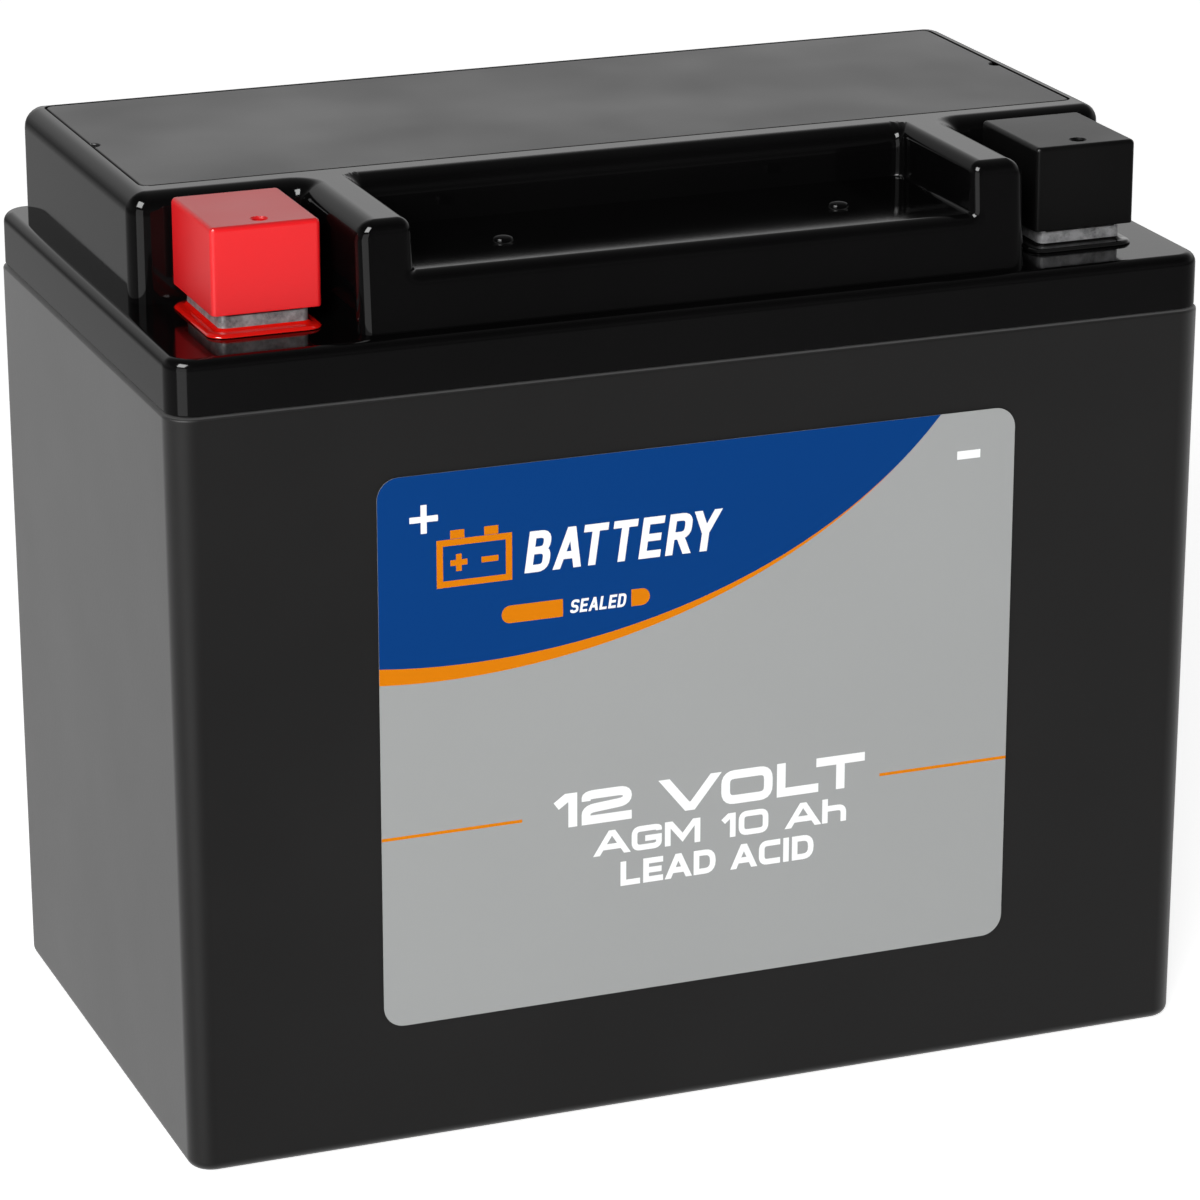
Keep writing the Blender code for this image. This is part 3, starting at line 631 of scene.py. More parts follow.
def step_cutter(bm):
    """The step between the arms, with its rounded mouth, rounded rims and filleted inner edges.

    It is a stack of U-shaped sections from in front of the block to the face of the plateau.
    """
    rim = ARM_ROUND
    back_rim = PLATEAU_FRONT_ROUND
    top = COVER_Z1
    turns = 7                        # steps of every rounding
    angles = quarter_turn(turns)

    def section(outward):
        """One side's (distance out, z) points, from the middle of the floor to above the top."""
        low, high = STEP_FLOOR + STEP_FILLET, top - rim
        wall = min(outward, 0.0)
        reach = STEP_FILLET + max(outward, 0.0)
        points = [(wall - STEP_FILLET + reach * sin(angle), low - reach * cos(angle)) for angle in angles]
        points += [(outward, low + (high - low) * i / turns) for i in range(1, turns)]
        reach = max(rim - outward, LEAST_RADIUS)
        points += [(rim - reach * cos(angle), high + reach * sin(angle)) for angle in angles]
        points.append((rim, top + DECK))
        return points

    def back_wall(z):
        rise = min(max(z - (top - back_rim), 0.0), back_rim)
        return PLATEAU_Y0 + back_rim - (back_rim ** 2 - rise ** 2) ** 0.5

    stations = [(rim, lambda z: block_front(z) - 2 * DECK)]
    for angle in angles:
        stations.append((rim * (1 - sin(angle)), lambda z, a=angle: block_front(z) + rim * (1 - cos(a))))
    for angle in angles:
        stations.append((-STEP_CORNER * (1 - cos(angle)),
                         lambda z, a=angle: back_wall(z) - STEP_CORNER * (1 - sin(a))))
    rings = []
    for outward, y_at in stations:
        points = section(outward)
        left = [bm.verts.new((STEP_X0 - out, y_at(z), z)) for out, z in points]
        right = [bm.verts.new((STEP_X1 + out, y_at(z), z)) for out, z in points]
        rings.append((left, right))
    last = len(rings[0][0]) - 1
    for (left_a, right_a), (left_b, right_b) in zip(rings, rings[1:]):
        for i in range(last):
            bm.faces.new((left_a[i], left_b[i], left_b[i + 1], left_a[i + 1]))
            bm.faces.new((right_a[i], right_a[i + 1], right_b[i + 1], right_b[i]))
        bm.faces.new((left_a[0], right_a[0], right_b[0], left_b[0]))
        bm.faces.new((left_a[last], left_b[last], right_b[last], right_a[last]))
    for left, right in (rings[0], rings[-1]):
        for i in range(last):
            bm.faces.new((left[i], left[i + 1], right[i + 1], right[i]))


def upper_spaces(bm):
    """Space over each cell in the plateau, and in the front block where that stands over the cell."""
    bottom = LEDGE - 2 * DECK
    for x in CELL_CENTRES:
        left, right = x - CELL_LENGTH / 2, x + CELL_LENGTH / 2
        outline = rounded_rectangle(max(left, PLATEAU_X0 + DECK), min(right, PLATEAU_X1 - DECK),
                                    PLATEAU_Y0 + DECK, PLATEAU_Y1 - DECK, CELL_CORNER, 3)
        upright(bottom, CHAMBER_FLOOR - DECK, outline)(bm)
        if BLOCK_X0 < x < BLOCK_X1:
            outline = rounded_rectangle(max(left, BLOCK_X0 + DECK), min(right, BLOCK_X1 - DECK),
                                        BLOCK_Y0 + 1.4 * DECK, PLATEAU_Y0 - DECK, CELL_CORNER, 3)
            upright(bottom, STEP_FLOOR - DECK, outline)(bm)


def gate_dishes(bm):
    """Two shallow round marks in the floor of the step, with sloping rims."""
    for x, y in GATE_MARKS:
        bottom = STEP_FLOOR - GATE_DEPTH
        rim = [(GATE_RADIUS - 1.6 * MM, bottom), (GATE_RADIUS - 1.1 * MM, bottom + 0.03 * MM),
               (GATE_RADIUS - 0.4 * MM, STEP_FLOOR - 0.03 * MM), (GATE_RADIUS, STEP_FLOOR),
               (GATE_RADIUS + 0.1 * MM, STEP_FLOOR + DECK)]
        turned(bm, x, y, [(0, bottom)] + rim + [(0, STEP_FLOOR + DECK)], 48)


def make_cover():
    pocket = rounded_rectangle(PLATE_X0 - PLATE_CLEARANCE, PLATE_X1 + PLATE_CLEARANCE,
                               PLATE_Y0 - PLATE_CLEARANCE, PLATE_Y1 + PLATE_CLEARANCE,
                               PLATE_CORNER + PLATE_CLEARANCE, 8)
    chamber = rounded_rectangle(PLATE_X0 + CHAMBER_RIM, PLATE_X1 - CHAMBER_RIM, PLATE_Y0 + CHAMBER_RIM,
                                PLATE_Y1 - CHAMBER_RIM, 2.0 * MM, 8)
    seat = PLATE_Z1 - PLATE_THICKNESS - GAP
    cover = mesh_object("cover_moulding", skirt_form)
    boolean(cover, "UNION", upper_form)
    boolean(cover, "DIFFERENCE", step_cutter, upright(seat, COVER_Z1 + DECK, pocket),
            upright(CHAMBER_FLOOR, seat + DECK, chamber))
    boolean(cover, "UNION", bars(VALVE_PLACES, CHAMBER_FLOOR - DECK / 2, NECK_TOP, NECK_RADIUS, 40))
    boolean(cover, "DIFFERENCE",
            upright(COVER_Z0 - WALL, LEDGE - DECK, *[cell_outline(x, 3) for x in CELL_CENTRES]), upper_spaces,
            bars(VALVE_PLACES, CHAMBER_FLOOR - 2 * DECK, NECK_TOP + DECK, NECK_BORE, 36),
            bars(TERMINAL_PLACES.values(), LEDGE - 2 * DECK, LEDGE + DECK, STUB_HOLE, 36),
            bars(ARRESTOR_PLACES, ARRESTOR_BOTTOM - GAP, NECK_TOP, ARRESTOR_RADIUS + GAP, 32),
            gate_dishes)

    def nubs(bm):
        low = STEP_FLOOR - GATE_DEPTH
        dome = [(NUB_RADIUS * cos(pi / 16 * i), low + NUB_HEIGHT * sin(pi / 16 * i)) for i in range(8)]
        for x, y in GATE_MARKS:
            turned(bm, x + NUB_RADIUS / 2, y, [(0, low - DECK / 4), (NUB_RADIUS, low - DECK / 4)] + dome
                   + [(0, low + NUB_HEIGHT)], 28)

    boolean(cover, "UNION", nubs)
    place(shade(cover), [COVER_BLACK], "case", "cover")


# ---- vents

def make_vent_plate():
    under = PLATE_Z1 - PLATE_THICKNESS
    middle_y = VALVE_PLACES[0][1]

    def pads(bm):
        for x, y in VALVE_PLACES:
            turned(bm, x, y, [(0, PLATE_Z0), (PAD_RADIUS - PAD_CHAMFER, PLATE_Z0),
                              (PAD_RADIUS, PLATE_Z0 + PAD_CHAMFER), (PAD_RADIUS, under + PLATE_THICKNESS / 2),
                              (0, under + PLATE_THICKNESS / 2)], 36)

    first, last = VALVE_PLACES[0][0], VALVE_PLACES[-1][0]
    half = RIB_WIDTH / 2
    ribs = [rounded_rectangle(first, last, y - half, y + half, 0.8 * half, 3)
            for y in (middle_y, middle_y - RIB_PITCH, middle_y + RIB_PITCH)]
    outline = rounded_rectangle(PLATE_X0, PLATE_X1, PLATE_Y0, PLATE_Y1, PLATE_CORNER, 8)
    notches = [(PLATE_X0, middle_y), (PLATE_X1, middle_y)]
    plate = mesh_object("vent_plate", upright(under, PLATE_Z1, outline))
    boolean(plate, "DIFFERENCE", bars(notches, under - GAP, PLATE_Z1 + GAP, NOTCH_RADIUS, 24))
    edges = plate.modifiers.new("edges", "BEVEL")
    edges.width = PLATE_EDGE
    edges.segments = 3
    edges.limit_method = "ANGLE"
    edges.angle_limit = pi / 4
    settle(plate)
    boolean(plate, "UNION", upright(under - RIB_DEPTH, under + half, *ribs), pads)
    place(shade(plate), [PLATE_BLACK], "vent_plate_body", "vent_cover_plate")


def make_valve(number):
    """Rubber cap with a rounded shoulder, a bead round its skirt and a dimple on top."""
    x0, x1, y0, y1, z0, z1 = limits(f"vent_valve_{number}")
    x, y, radius = (x0 + x1) / 2, (y0 + y1) / 2, (x1 - x0) / 2
    wall = 1.0 * MM
    inner, ceiling = radius - wall, z1 - wall
    edge, bead, shoulder = 0.2 * MM, 0.35 * MM, 0.9 * MM

    def cup(bm):
        profile = [(0, ceiling), (inner - 0.3 * MM, ceiling), (inner, ceiling - 0.3 * MM), (inner, z0 + edge),
                   (inner + edge, z0), (radius - edge, z0), (radius, z0 + edge),
                   (radius, z0 + 1.0 * MM), (radius - bead, z0 + 1.3 * MM)]
        profile += arc(radius - bead - shoulder, z1 - shoulder, shoulder, 0, pi / 2, 6)
        profile += [(1.7 * MM, z1), (1.4 * MM, z1 - 0.12 * MM), (1.0 * MM, z1 - 0.35 * MM),
                    (0, z1 - 0.4 * MM)]
        turned(bm, x, y, profile, 48)

    valve = mesh_object(f"valve_cap_{number}", cup)
    place(shade(valve), [RUBBER], f"vent_valve_{number}_body", f"vent_valve_{number}")


# ---- terminals and their caps

def make_terminal(pole):
    """Cast lead block with its nut window, bolt hole and the stub that goes down through the cover."""
    x0, x1, y0, y1, z0, z1 = limits(f"{pole}_terminal")
    nut_x0, nut_x1, _, nut_y1, nut_z0, nut_z1 = limits(f"{pole}_terminal_nut")
    middle = [TERMINAL_PLACES[pole]]
    foot = LEDGE + GAP

    block = soft_block(x0, x1, y0, y1, foot, z1, 0.9 * MM, top=0.6 * MM, foot=0.2 * MM, draft=-0.12 * MM)
    window = rounded_rectangle(nut_x0 - GAP, nut_x1 + GAP, y0 - 2 * MM, nut_y1 + GAP, 0.5 * MM, 3)
    bolt_hole = bars(middle, nut_z0 - 4 * GAP, z1 + DECK, BOLT_HOLE)
    post_hole = bars(middle, z0 - DECK, LEDGE - 2 * GAP, POST_HOLE)
    terminal = mesh_object(f"{pole}_lead_block", block)
    boolean(terminal, "UNION", bars(middle, z0, foot + GAP, STUB_RADIUS))
    boolean(terminal, "DIFFERENCE", upright(nut_z0 - GAP, nut_z1 + GAP, window), bolt_hole, post_hole)
    place(shade(terminal), [LEAD], "case", f"{pole}_terminal")


def make_nut(pole):
    x0, x1, y0, y1, z0, z1 = limits(f"{pole}_terminal_nut")
    x, y, _ = centre(f"{pole}_terminal_nut")

    def countersink(bm):
        turned(bm, x, y, [(0, z1 - 0.6 * MM), (3.1 * MM, z1 - 0.6 * MM), (3.8 * MM, z1 + 0.1 * MM),
                          (3.8 * MM, z1 + 0.5 * MM), (0, z1 + 0.5 * MM)], 32)

    blank = soft_block(x0, x1, y0, y1, z0, z1, 0.5 * MM, top=0.35 * MM, foot=0.1 * MM, steps=4, edge_steps=3)
    nut = mesh_object(f"{pole}_square_nut", blank)
    boolean(nut, "DIFFERENCE", bars([(x, y)], z0 - DECK, z1 + DECK, 3.15 * MM), countersink)
    place(shade(nut), [STEEL], "case", f"{pole}_terminal_nut")


def make_bolt(pole):
    """Hexagon bolt with a washer, a chamfered head and a cross recess."""
    x0, x1, y0, y1, z0, z1 = limits(f"{pole}_terminal_bolt")
    x, y, washer = (x0 + x1) / 2, (y0 + y1) / 2, (x1 - x0) / 2
    seat = z1 - HEAD_HEIGHT
    face = seat + WASHER_HEIGHT
    chamfer = 0.5 * MM
    edge = 0.15 * MM

    def body(bm):
        turned(bm, x, y, [(0, z0), (BOLT_RADIUS - chamfer, z0), (BOLT_RADIUS, z0 + chamfer),
                          (BOLT_RADIUS, seat), (washer - edge, seat), (washer, seat + edge),
                          (washer, face - edge), (washer - edge, face), (0, face)], 48)

    def head(bm):
        """Hexagon whose corners a cone trims at the top."""
        flat = HEX_RADIUS * cos(pi / 6)
        loops = []
        for z, limit in ((face - chamfer, 6.0), (z1 - 0.4 * MM, 4.9), (z1 - 0.2 * MM, 4.55),
                         (z1 - 0.06 * MM, 4.2), (z1, 4.1)):     # how far the cone lets it reach, in mm
            loop = []
            for i in range(48):
                angle = 2 * pi * i / 48
                reach = min(flat / cos((angle + pi / 6) % (pi / 3) - pi / 6), limit * MM)
                loop.append((x + reach * cos(angle), y + reach * sin(angle), z))
            loops.append(loop)
        loft(bm, loops)

    arm, tip = 0.55 * MM, 2.3 * MM
    cross = []
    for right, ahead in ((1, 0), (0, 1), (-1, 0), (0, -1)):
        cross += [(x + px * right - py * ahead, y + px * ahead + py * right)
                  for px, py in ((tip, arm), (arm, arm), (arm, tip))]
    bolt = mesh_object(f"{pole}_hex_bolt", head)
    boolean(bolt, "UNION", body)
    bolt.modifiers.new("weld", "WELD").merge_threshold = 0.001 * MM
    boolean(settle(bolt), "DIFFERENCE", upright(z1 - RECESS_DEPTH, z1 + 1 * MM, cross))
    place(shade(bolt), [STEEL], "case", f"{pole}_terminal_bolt")


def make_seal(pole, mat):
    """Resin poured round the foot of the terminal: round outside, and drawn up at the metal."""
    x0, x1, y0, y1, z0, z1 = limits(f"{pole}_terminal_seal")
    bx0, bx1, by0, by1 = limits(f"{pole}_terminal")[:4]
    clear = SEAL_CLEARANCE
    # Share of the way in from the outer edge to the metal, and height
    levels = [(0.0, z0), (0.0, z0 + 0.12 * MM), (0.12, z1 - 0.12 * MM), (0.3, z1 - 0.02 * MM),
              (0.55, z1), (0.8, z1 + 0.12 * MM), (1.0, z1 + 0.42 * MM), (1.0, z0)]
    loops = []
    for share, z in levels:
        sides = [x0 + (bx0 - clear - x0) * share, x1 + (bx1 + clear - x1) * share,
                 y0 + (by0 - clear - y0) * share, y1 + (by1 + clear - y1) * share]
        outline = rounded_rectangle(*sides, (2.2 - 1.2 * share) * MM, 8)
        loops.append([(px, py, z) for px, py in outline])
    seal = mesh_object(f"{pole}_resin_seal", lambda bm: loft(bm, loops, closed=True))
    place(shade(seal), [mat], "case", f"{pole}_terminal_seal")


def make_cap(pole, mat):
    """Push-on cap: crisp moulded box, open below, with a probe hole and gripping ribs inside."""
    x0, x1, y0, y1, z0, z1 = limits(f"{pole}_cap")
    wall = CAP_WALL
    hole = ((x0 + x1) / 2, y0 + 2.9 * MM)

    def dimple(bm):
        turned(bm, *hole, [(0, z1 - 0.25 * MM), (1.0 * MM, z1 - 0.25 * MM), (PROBE_RIM, z1 + 0.05 * MM),
                           (PROBE_RIM, z1 + wall), (0, z1 + wall)], 32)

    half = 0.35 * MM
    reach = wall + 0.12 * MM
    ribs = []
    for x in (x0 + 4 * MM, x1 - 4 * MM):
        for low, high in ((y0 + wall / 2, y0 + reach), (y1 - reach, y1 - wall / 2)):
            ribs.append([(x - half, low), (x + half, low), (x + half, high), (x - half, high)])
    shell = soft_block(x0, x1, y0, y1, z0, z1, CAP_CORNER, top=0.65 * MM, foot=0.15 * MM)
    hollow = rounded_rectangle(x0 + wall, x1 - wall, y0 + wall, y1 - wall, 0.5 * MM, 4)
    cap = mesh_object(f"{pole}_terminal_cover", shell)
    boolean(cap, "DIFFERENCE", upright(z0 - wall, z1 - wall, hollow))
    boolean(cap, "UNION", upright(z0 + wall, z1 - wall / 2, *ribs))
    boolean(cap, "DIFFERENCE", bars([hole], z1 - 2 * wall, z1 + wall, PROBE_RADIUS, 28), dimple)
    place(shade(cap), [mat], f"{pole}_cap_body", f"{pole}_cap")


# ---- label

# Letters: width, then strokes as centre lines in a box of height 1. A third number rounds that corner,
# and a stroke that comes back to its first point is a loop.
GLYPHS = {
    "0": (0.9, [(0, 0, 1), (0.9, 0, 1), (0.9, 1, 1), (0, 1, 1), (0, 0, 1)]),
    "1": (0.36, [(0, 0.72), (0.22, 1), (0.36, 1), (0.36, 0)]),
    "2": (0.9, [(0, 0.76), (0, 1, 1), (0.9, 1, 1), (0.9, 0.56, 1), (0, 0.44, 1), (0, 0), (0.9, 0)]),
    "A": (1.0, [(0, 0), (0.44, 1), (0.56, 1), (1.0, 0)], [(0.2, 0.28), (0.8, 0.28)]),
    "B": (0.86, [(0, 0), (0.86, 0, 1), (0.86, 0.53, 1), (0, 0.53), (0, 0)],
          [(0, 0.53), (0.8, 0.53, 1), (0.8, 1, 1), (0, 1), (0, 0.53)]),
    "C": (0.85, [(0.85, 1), (0, 1, 1), (0, 0, 1), (0.85, 0)]),
    "D": (0.88, [(0, 0), (0.88, 0, 1.5), (0.88, 1, 1.5), (0, 1), (0, 0)]),
    "E": (0.76, [(0.76, 1), (0, 1), (0, 0), (0.76, 0)], [(0, 0.5), (0.68, 0.5)]),
    "G": (0.9, [(0.9, 0.8), (0.9, 1, 1), (0, 1, 1), (0, 0, 1), (0.9, 0, 1), (0.9, 0.46), (0.5, 0.46)]),
    "I": (0.0, [(0, 0), (0, 1)]),
    "L": (0.74, [(0, 1), (0, 0), (0.74, 0)]),
    "M": (1.1, [(0, 0), (0, 1), (0.12, 1), (0.55, 0.22), (0.98, 1), (1.1, 1), (1.1, 0)]),
    "O": (0.95, [(0, 0, 1), (0.95, 0, 1), (0.95, 1, 1), (0, 1, 1), (0, 0, 1)]),
    "R": (0.86, [(0, 0), (0, 1), (0.86, 1, 1), (0.86, 0.45, 1), (0, 0.45)], [(0.46, 0.45), (0.86, 0)]),
    "S": (0.86, [(0.86, 0.8), (0.86, 1, 1), (0, 1, 1), (0, 0.52, 1), (0.86, 0.48, 1), (0.86, 0, 1),
                 (0, 0, 1), (0, 0.2)]),
    "T": (0.9, [(0, 1), (0.9, 1)], [(0.45, 1), (0.45, 0)]),
    "V": (1.0, [(0, 1), (0.44, 0), (0.56, 0), (1.0, 1)]),
    "Y": (0.9, [(0, 1), (0.45, 0.45), (0.9, 1)], [(0.45, 0.47), (0.45, 0)]),
    "h": (0.7, [(0, 1), (0, 0)], [(0, 0.62), (0.7, 0.62, 1), (0.7, 0)]),
    " ": (0.3,),
}
# Share of the letter height by which such a pair moves together
CLOSE_PAIRS = {"AT": 0.14, "LT": 0.2, "RY": 0.06, "1 ": 0.1, " A": 0.05}


def curve(controls, steps):
    """Bezier curve of any number of control points."""
    path = []
    for i in range(steps + 1):
        row = controls
        while len(row) > 1:
            row = [(ax + (bx - ax) * i / steps, ay + (by - ay) * i / steps)
                   for (ax, ay), (bx, by) in zip(row, row[1:])]
        path += row
    return path


def rounded_path(points, radius, closed):
    """Centre line whose marked corners become short curves. A mark is a share of the radius."""
    path = []
    count = len(points)
    for i, (x, y, *share) in enumerate(points):
        if not share or (not closed and i in (0, count - 1)):
            path.append((x, y))
            continue
        legs = []
        for ox, oy, *_ in (points[i - 1], points[(i + 1) % count]):
            length = hypot(ox - x, oy - y)
            reach = min(radius * share[0], 0.48 * length) / length
            legs.append((x + (ox - x) * reach, y + (oy - y) * reach))
        path += curve([legs[0], (x, y), legs[1]], 5)
    return path


def squared_end(end, inner, half, low, high):
    """Two corners of a free end that reaches the letter's box, cut level where the stroke slants."""
    (x, y), (nx, ny) = end, inner
    length = hypot(x - nx, y - ny)
    dx, dy = (x - nx) / length, (y - ny) / length
    if min(abs(y - low), abs(y - high)) < half * 0.01 and abs(dy) > 0.5:
        reach = half / abs(dy)
        side = (reach * (1 if dy < 0 else -1), 0.0)
    else:
        reach = half if abs(dy) < 0.1 else 0.0
        side = (-dy * half, dx * half)
    x, y = x + dx * reach, y + dy * reach
    return (x + side[0], y + side[1]), (x - side[0], y - side[1])


def stroke(points, thickness, closed=False, box=None):
    """A quad for each leg of a polyline and a kite outside each turn; a letter's box squares the ends."""
    half = thickness / 2
    shapes = []
    legs = list(zip(points, points[1:] + points[:1]))
    if not closed:
        legs.pop()
    normals = []
    for (ax, ay), (bx, by) in legs:
        length = hypot(bx - ax, by - ay)
        nx, ny = (ay - by) / length * half, (bx - ax) / length * half
        normals.append((nx, ny))
        shapes.append([(ax + nx, ay + ny), (ax - nx, ay - ny), (bx - nx, by - ny), (bx + nx, by + ny)])
    if box and not closed:
        right, left = squared_end(points[0], points[1], half, *box)
        shapes[0][:2] = [left, right]
        left, right = squared_end(points[-1], points[-2], half, *box)
        shapes[len(legs) - 1][2:] = [right, left]
    for i in range(0 if closed else 1, len(legs)):
        x, y = points[i]
        (ax, ay), (bx, by) = normals[i - 1], normals[i]
        turn = ax * by - ay * bx
        if abs(turn) < 1e-4 * half * half:
            continue
        outer = -1 if turn > 0 else 1
        reach = outer / max(1 + (ax * bx + ay * by) / (half * half), 0.35)
        shapes.append([(x, y), (x + outer * ax, y + outer * ay),
                       (x + (ax + bx) * reach, y + (ay + by) * reach), (x + outer * bx, y + outer * by)])
    return shapes


def word(text, left, bottom, width, height, weight, slant):
    """Strokes of a word fitted into a width, in the label's own plane."""
    gap = 0.13 * height
    closer = [CLOSE_PAIRS.get(text[i:i + 2], 0.0) * height for i in range(len(text))]
    fixed = weight + (len(text) - 1) * (weight + gap) - sum(closer)
    scale = (width - fixed) / sum(GLYPHS[c][0] for c in text)
    shapes = []
    cursor = left + weight / 2
    low = bottom + weight / 2
    rise = height - weight
    for character, closing in zip(text, closer):
        advance, *strokes = GLYPHS[character]
        for points in strokes:
            placed = [(cursor + x * scale, low + y * rise, *share) for x, y, *share in points]
            closed = points[0] == points[-1]
            path = rounded_path(placed[:-1] if closed else placed, weight, closed)
            for quad in stroke(path, weight, closed, (low, low + rise)):
                shapes.append([(x + slant * (y - bottom), y) for x, y in quad])
        cursor += advance * scale + weight + gap - closing
    return shapes


def pill(x0, x1, z0, z1, round_left, round_right):
    """Bar with one or two half-round ends."""
    radius = (z1 - z0) / 2
    middle = (z0 + z1) / 2
    left = arc(x0 + radius, middle, radius, pi / 2, 3 * pi / 2, 12) if round_left else [(x0, z1), (x0, z0)]
    right = arc(x1 - radius, middle, radius, -pi / 2, pi / 2, 12) if round_right else [(x1, z0), (x1, z1)]
    return left + right


# Words on the label: text, then left, bottom, width, height and weight in millimetres, and slant
WORDS = (("BATTERY", -26.4, 80.8, 27.6, 5.8, 1.05, 0.14),
         ("12 VOLT", -22.6, 43.3, 46.7, 5.0, 1.3, 0.0),
         ("AGM 10 Ah", -16.2, 38.4, 37.6, 3.6, 0.85, 0.0),
         ("LEAD ACID", -12.5, 33.5, 29.0, 3.6, 0.85, 0.0),
         ("SEALED", -19.9, 74.3, 8.0, 1.9, 0.36, 0.15))
SYMBOL_FRAME = [(-38.4, 80.6), (-28.6, 80.6), (-28.6, 86.4), (-38.4, 86.4)]
# Two ends and a thickness for each other stroke of the battery symbol, and of the pole signs
SYMBOL_STROKES = (((-36.9, 87.5), (-34.9, 87.5), 1.2), ((-32.1, 87.5), (-30.1, 87.5), 1.2),
                  ((-36.9, 83.5), (-34.5, 83.5), 0.8), ((-35.7, 82.3), (-35.7, 84.7), 0.8),
                  ((-32.5, 83.5), (-30.1, 83.5), 0.8))
SIGN_STROKES = (((-42.6, 90.1), (-38.6, 90.1), 0.85), ((-40.6, 88.1), (-40.6, 92.1), 0.85),
                ((37.2, 90.1), (40.7, 90.1), 1.2))


def label_art():
    """Inks and shapes in millimetres: x along the battery, z up. Later shapes lie over earlier ones."""
    x0, x1, z0, z1 = (value / MM for value in (LABEL_X0, LABEL_X1, LABEL_Z0, LABEL_Z1))
    outline = rounded_rectangle(x0, x1, z0, z1, 3.0, 10)
    above = (x0 - 1, z1 + 1)
    wave = curve([(x0 - 1, 69.9), (-22.0, 66.4), (16.0, 73.2), (35.4, 97.3)], 48)
    band = [(x, z - max(0.0, 2.35 - 0.0312 * (x - x0))) for x, z in wave]
    rules = [pill(x0 - 1, -26.9, 45.0, 45.45, False, False), pill(26.4, x1 + 1, 44.3, 44.75, False, False)]
    tags = [pill(-29.7, -20.9, 74.0, 76.5, True, False), pill(-11.0, -8.3, 74.2, 76.6, False, True)]
    symbol = stroke(SYMBOL_FRAME, 0.9, closed=True)
    white = []
    for rows, shapes in ((SYMBOL_STROKES, symbol), (SIGN_STROKES, white)):
        for start, end, thickness in rows:
            shapes += stroke([start, end], thickness)
    for row in WORDS:
        white += word(*row)
    return [(INK_GREY, [outline]), (INK_ORANGE, [band + [above]]), (INK_BLUE, [wave + [above]]),
            (INK_ORANGE, rules + tags + symbol), (INK_WHITE, white)]


def make_label():
    """One closed film whose front is divided along the edges of every printed shape."""
    points, faces, inks = [], [], []
    for ink, shapes in label_art():
        for shape in shapes:
            area = sum(a[0] * b[1] - b[0] * a[1] for a, b in zip(shape, shape[1:] + shape[:1]))
            faces.append(list(range(len(points), len(points) + len(shape))))
            points += [Vector(p) for p in (shape if area > 0 else reversed(shape))]
            inks.append(ink)
    flat, _, cells, _, _, owners = delaunay_2d_cdt(points, [], faces, 1, 1e-5)
    mats = [INK_GREY, INK_BLUE, INK_ORANGE, INK_WHITE]
    glue, film = 0.03 * MM, 0.12 * MM

    def surface(i, out):
        x, z = (value * MM for value in flat[i])
        return x, front_of_case(z) - out, z

    def sheet(bm):
        kept = [(cell, owner) for cell, owner in zip(cells, owners) if 0 in owner]
        used = sorted({i for cell, _ in kept for i in cell})
        front = {i: bm.verts.new(surface(i, glue + film)) for i in used}
        back = {i: bm.verts.new(surface(i, glue)) for i in used}
        rim = set()
        for cell, owner in kept:
            face = bm.faces.new([front[i] for i in cell])
            face.material_index = mats.index(inks[max(owner)])
            bm.faces.new([back[i] for i in reversed(cell)])
            rim.update(zip(cell, cell[1:] + cell[:1]))
        for a, b in sorted(rim):
            if (b, a) not in rim:
                bm.faces.new((front[b], front[a], back[a], back[b]))

    place(mesh_object("printed_label", sheet), mats, "case", "label")


# ---- assembly of the pieces

make_container()
make_cover()
make_vent_plate()
for number in range(1, CELLS + 1):
    make_valve(number)
for pole, colour, cap_mat, seal_mat in zip(POLES, ("red", "black"), (CAP_RED, CAP_BLACK),
                                           (RESIN_RED, RESIN_BLACK)):
    make_terminal(pole)
    make_nut(pole)
    make_bolt(pole)
    make_seal(pole, seal_mat)
    make_cap(pole, cap_mat)
make_label()

CARRIED_LOOKS = {"flame_arrestor": SINTERED, "intercell_weld": LEAD, "separator_pack": GLASS,
                 "positive_plate_group": PLATE_BROWN, "negative_plate_group": PLATE_GREY,
                 "positive_post": LEAD, "negative_post": LEAD,
                 "positive_post_ring": RUBBER, "negative_post_ring": RUBBER}
for node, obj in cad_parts.items():
    for start, mat in CARRIED_LOOKS.items():
        if node.startswith(start):               # a ring's own row comes after its post's
            dress(obj, [mat])


# ---- floor, light and camera

FLOOR_SIZE = 12.0
FLOOR_LEVEL = -0.2 * MM


def make_floor():
    def sheet(bm):
        half = FLOOR_SIZE / 2
        corners = [(-half, -half), (half, -half), (half, half), (-half, half)]
        bm.faces.new([bm.verts.new((x, y, FLOOR_LEVEL)) for x, y in corners])

    floor = mesh_object("floor", sheet)
    mat, _, shader = shader_material("floor_white")
    settings(shader, Base_Color=(0.86, 0.86, 0.86, 1.0), Roughness=0.9,
             Emission_Color=(1.0, 1.0, 1.0, 1.0), Emission_Strength=0.75)
    floor.data.materials.append(mat)
    floor.visible_glossy = False     # the blacks would mirror it as grey


# Brightness of the studio in front and behind, below and above the horizon
ROOM_LOW = (0.26, 0.40)
ROOM_HIGH = (0.15, 1.0)
FRONT_TO_BACK = (-0.4, 0.8)       # Y of the directions between which it changes
HORIZON = (-0.3, 0.2)             # Z of the directions between which low becomes high
# Dimming: brightness at the start and the end of a stretch of Z, X or |Z|
OVERHEAD_DIMMING = (1.0, 0.3, 0.3, 0.6)
LEFT_DIMMING = (0.35, 1.0, -0.4, 0.1)
HORIZON_DIMMING = (0.4, 1.0, 0.0, 0.22)
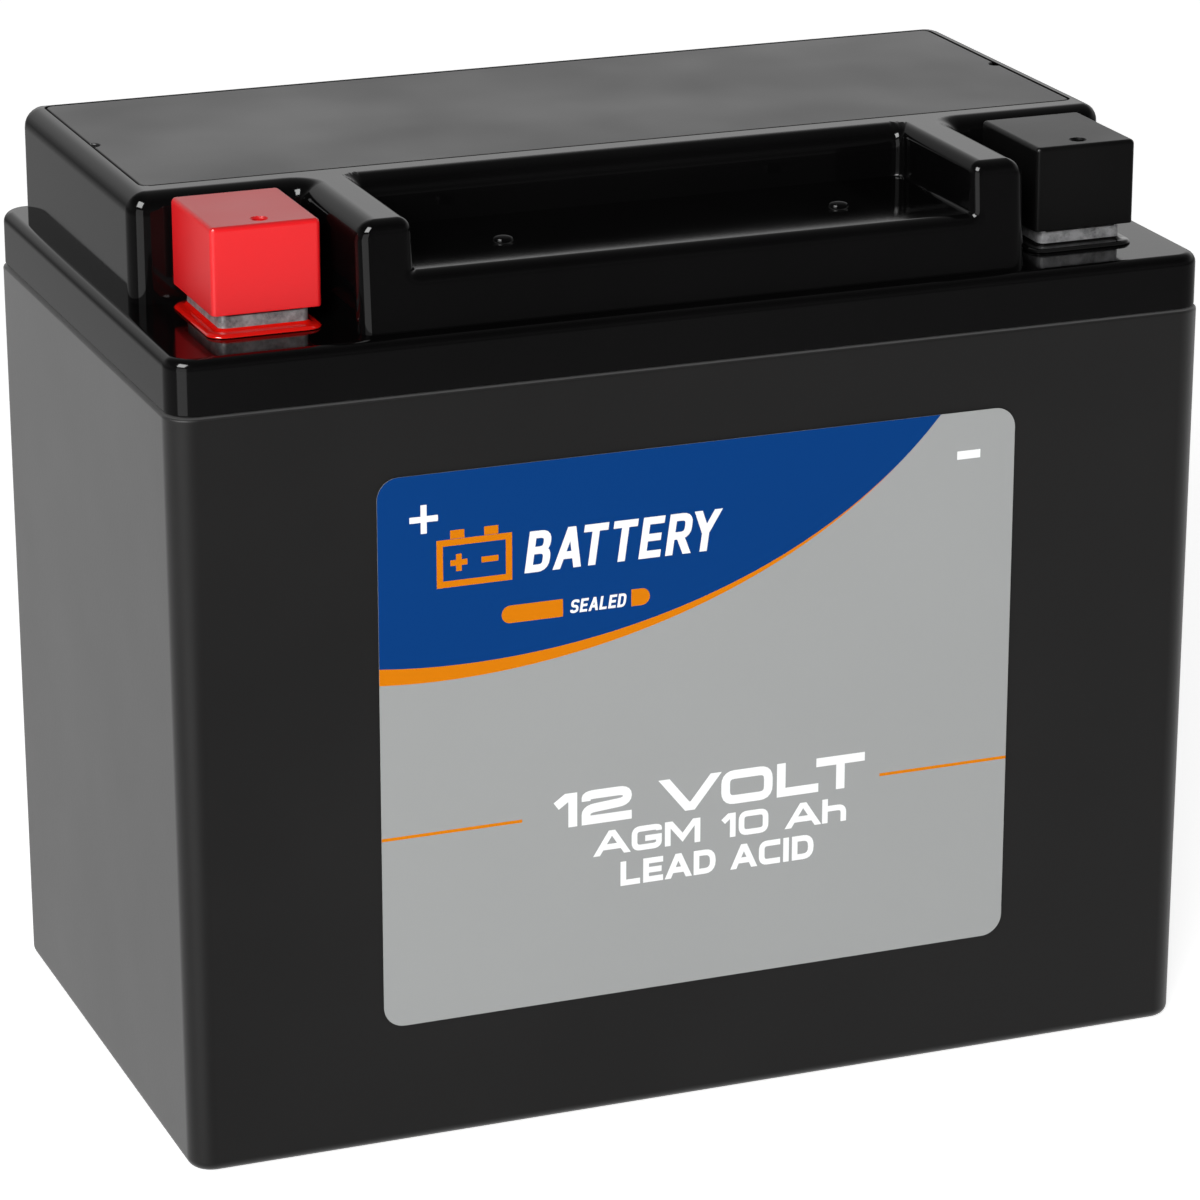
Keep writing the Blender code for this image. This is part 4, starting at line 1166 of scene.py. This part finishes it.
# Soft boxes: name, place, target, size, power, and the kind of ray that doesn't see it
SOFT_BOXES = (("key", (-0.95, -1.43, 0.86), (0.0, 0.0, 0.06), (0.7, 0.7), 27.0, "glossy"),
              ("spark", (-0.68, -0.42, 0.95), (0.0, 0.0, 0.12), (0.58, 0.58), 26.0, "diffuse"),
              ("strip", (-0.86, -0.69, 0.05), (0.0, 0.0, 0.05), (0.75, 1.0), 4.5, "diffuse"))


def make_light():
    """A dim studio in front of the object and a bright one behind it, white to the camera itself."""
    world = bpy.data.worlds.new("studio")
    world.use_nodes = True
    tree = world.node_tree
    background = tree.nodes["Background"]
    split = tree.nodes.new("ShaderNodeSeparateXYZ")
    tree.links.new(tree.nodes.new("ShaderNodeTexCoord").outputs["Generated"], split.inputs["Vector"])
    x, y, z = (split.outputs[axis] for axis in "XYZ")
    low = remap(tree, y, *ROOM_LOW, *FRONT_TO_BACK)
    high = remap(tree, y, *ROOM_HIGH, *FRONT_TO_BACK)
    high = arithmetic(tree, "MULTIPLY", high, remap(tree, z, *OVERHEAD_DIMMING))
    high = arithmetic(tree, "MULTIPLY", high, remap(tree, x, *LEFT_DIMMING))
    room = mixed(tree, remap(tree, z, 0.0, 1.0, *HORIZON), low, high)
    away = arithmetic(tree, "ABSOLUTE", z)
    room = arithmetic(tree, "MULTIPLY", room, remap(tree, away, *HORIZON_DIMMING))
    seen = mixed(tree, tree.nodes.new("ShaderNodeLightPath").outputs["Is Camera Ray"], room, 1.0)
    tree.links.new(seen, background.inputs["Strength"])
    settings(background, Color=(1.0, 1.0, 1.0, 1.0))
    bpy.context.scene.world = world


def aim(obj, place_at, direction):
    """Stands a light or a camera at a place and turns it, upright, to look along a direction."""
    bpy.context.collection.objects.link(obj)
    obj.location = place_at
    obj.rotation_euler = Vector(direction).to_track_quat("-Z", "Y").to_euler()


def make_soft_box(name, place_at, target, size, power, hidden_from):
    data = bpy.data.lights.new(name, "AREA")
    data.shape = "RECTANGLE"
    data.size, data.size_y = size
    data.energy = power
    obj = bpy.data.objects.new(name, data)
    aim(obj, place_at, Vector(target) - Vector(place_at))
    setattr(obj, f"visible_{hidden_from}", False)


CAMERA_PLACE = (-0.24798, -0.64344, 0.29641)
CAMERA_DIRECTION = (0.344607, 0.880895, -0.324452)
LENS = 151.126                    # on a sensor 36 mm wide
SHIFT = (-0.0130, -0.0003)


def make_camera():
    data = bpy.data.cameras.new("camera")
    data.sensor_width = 36.0
    data.lens = LENS
    data.shift_x, data.shift_y = SHIFT
    data.clip_start = 0.01
    camera = bpy.data.objects.new("camera", data)
    aim(camera, CAMERA_PLACE, CAMERA_DIRECTION)
    bpy.context.scene.camera = camera


make_floor()
make_light()
for row in SOFT_BOXES:
    make_soft_box(*row)
make_camera()
bpy.context.scene.view_settings.view_transform = "Standard"
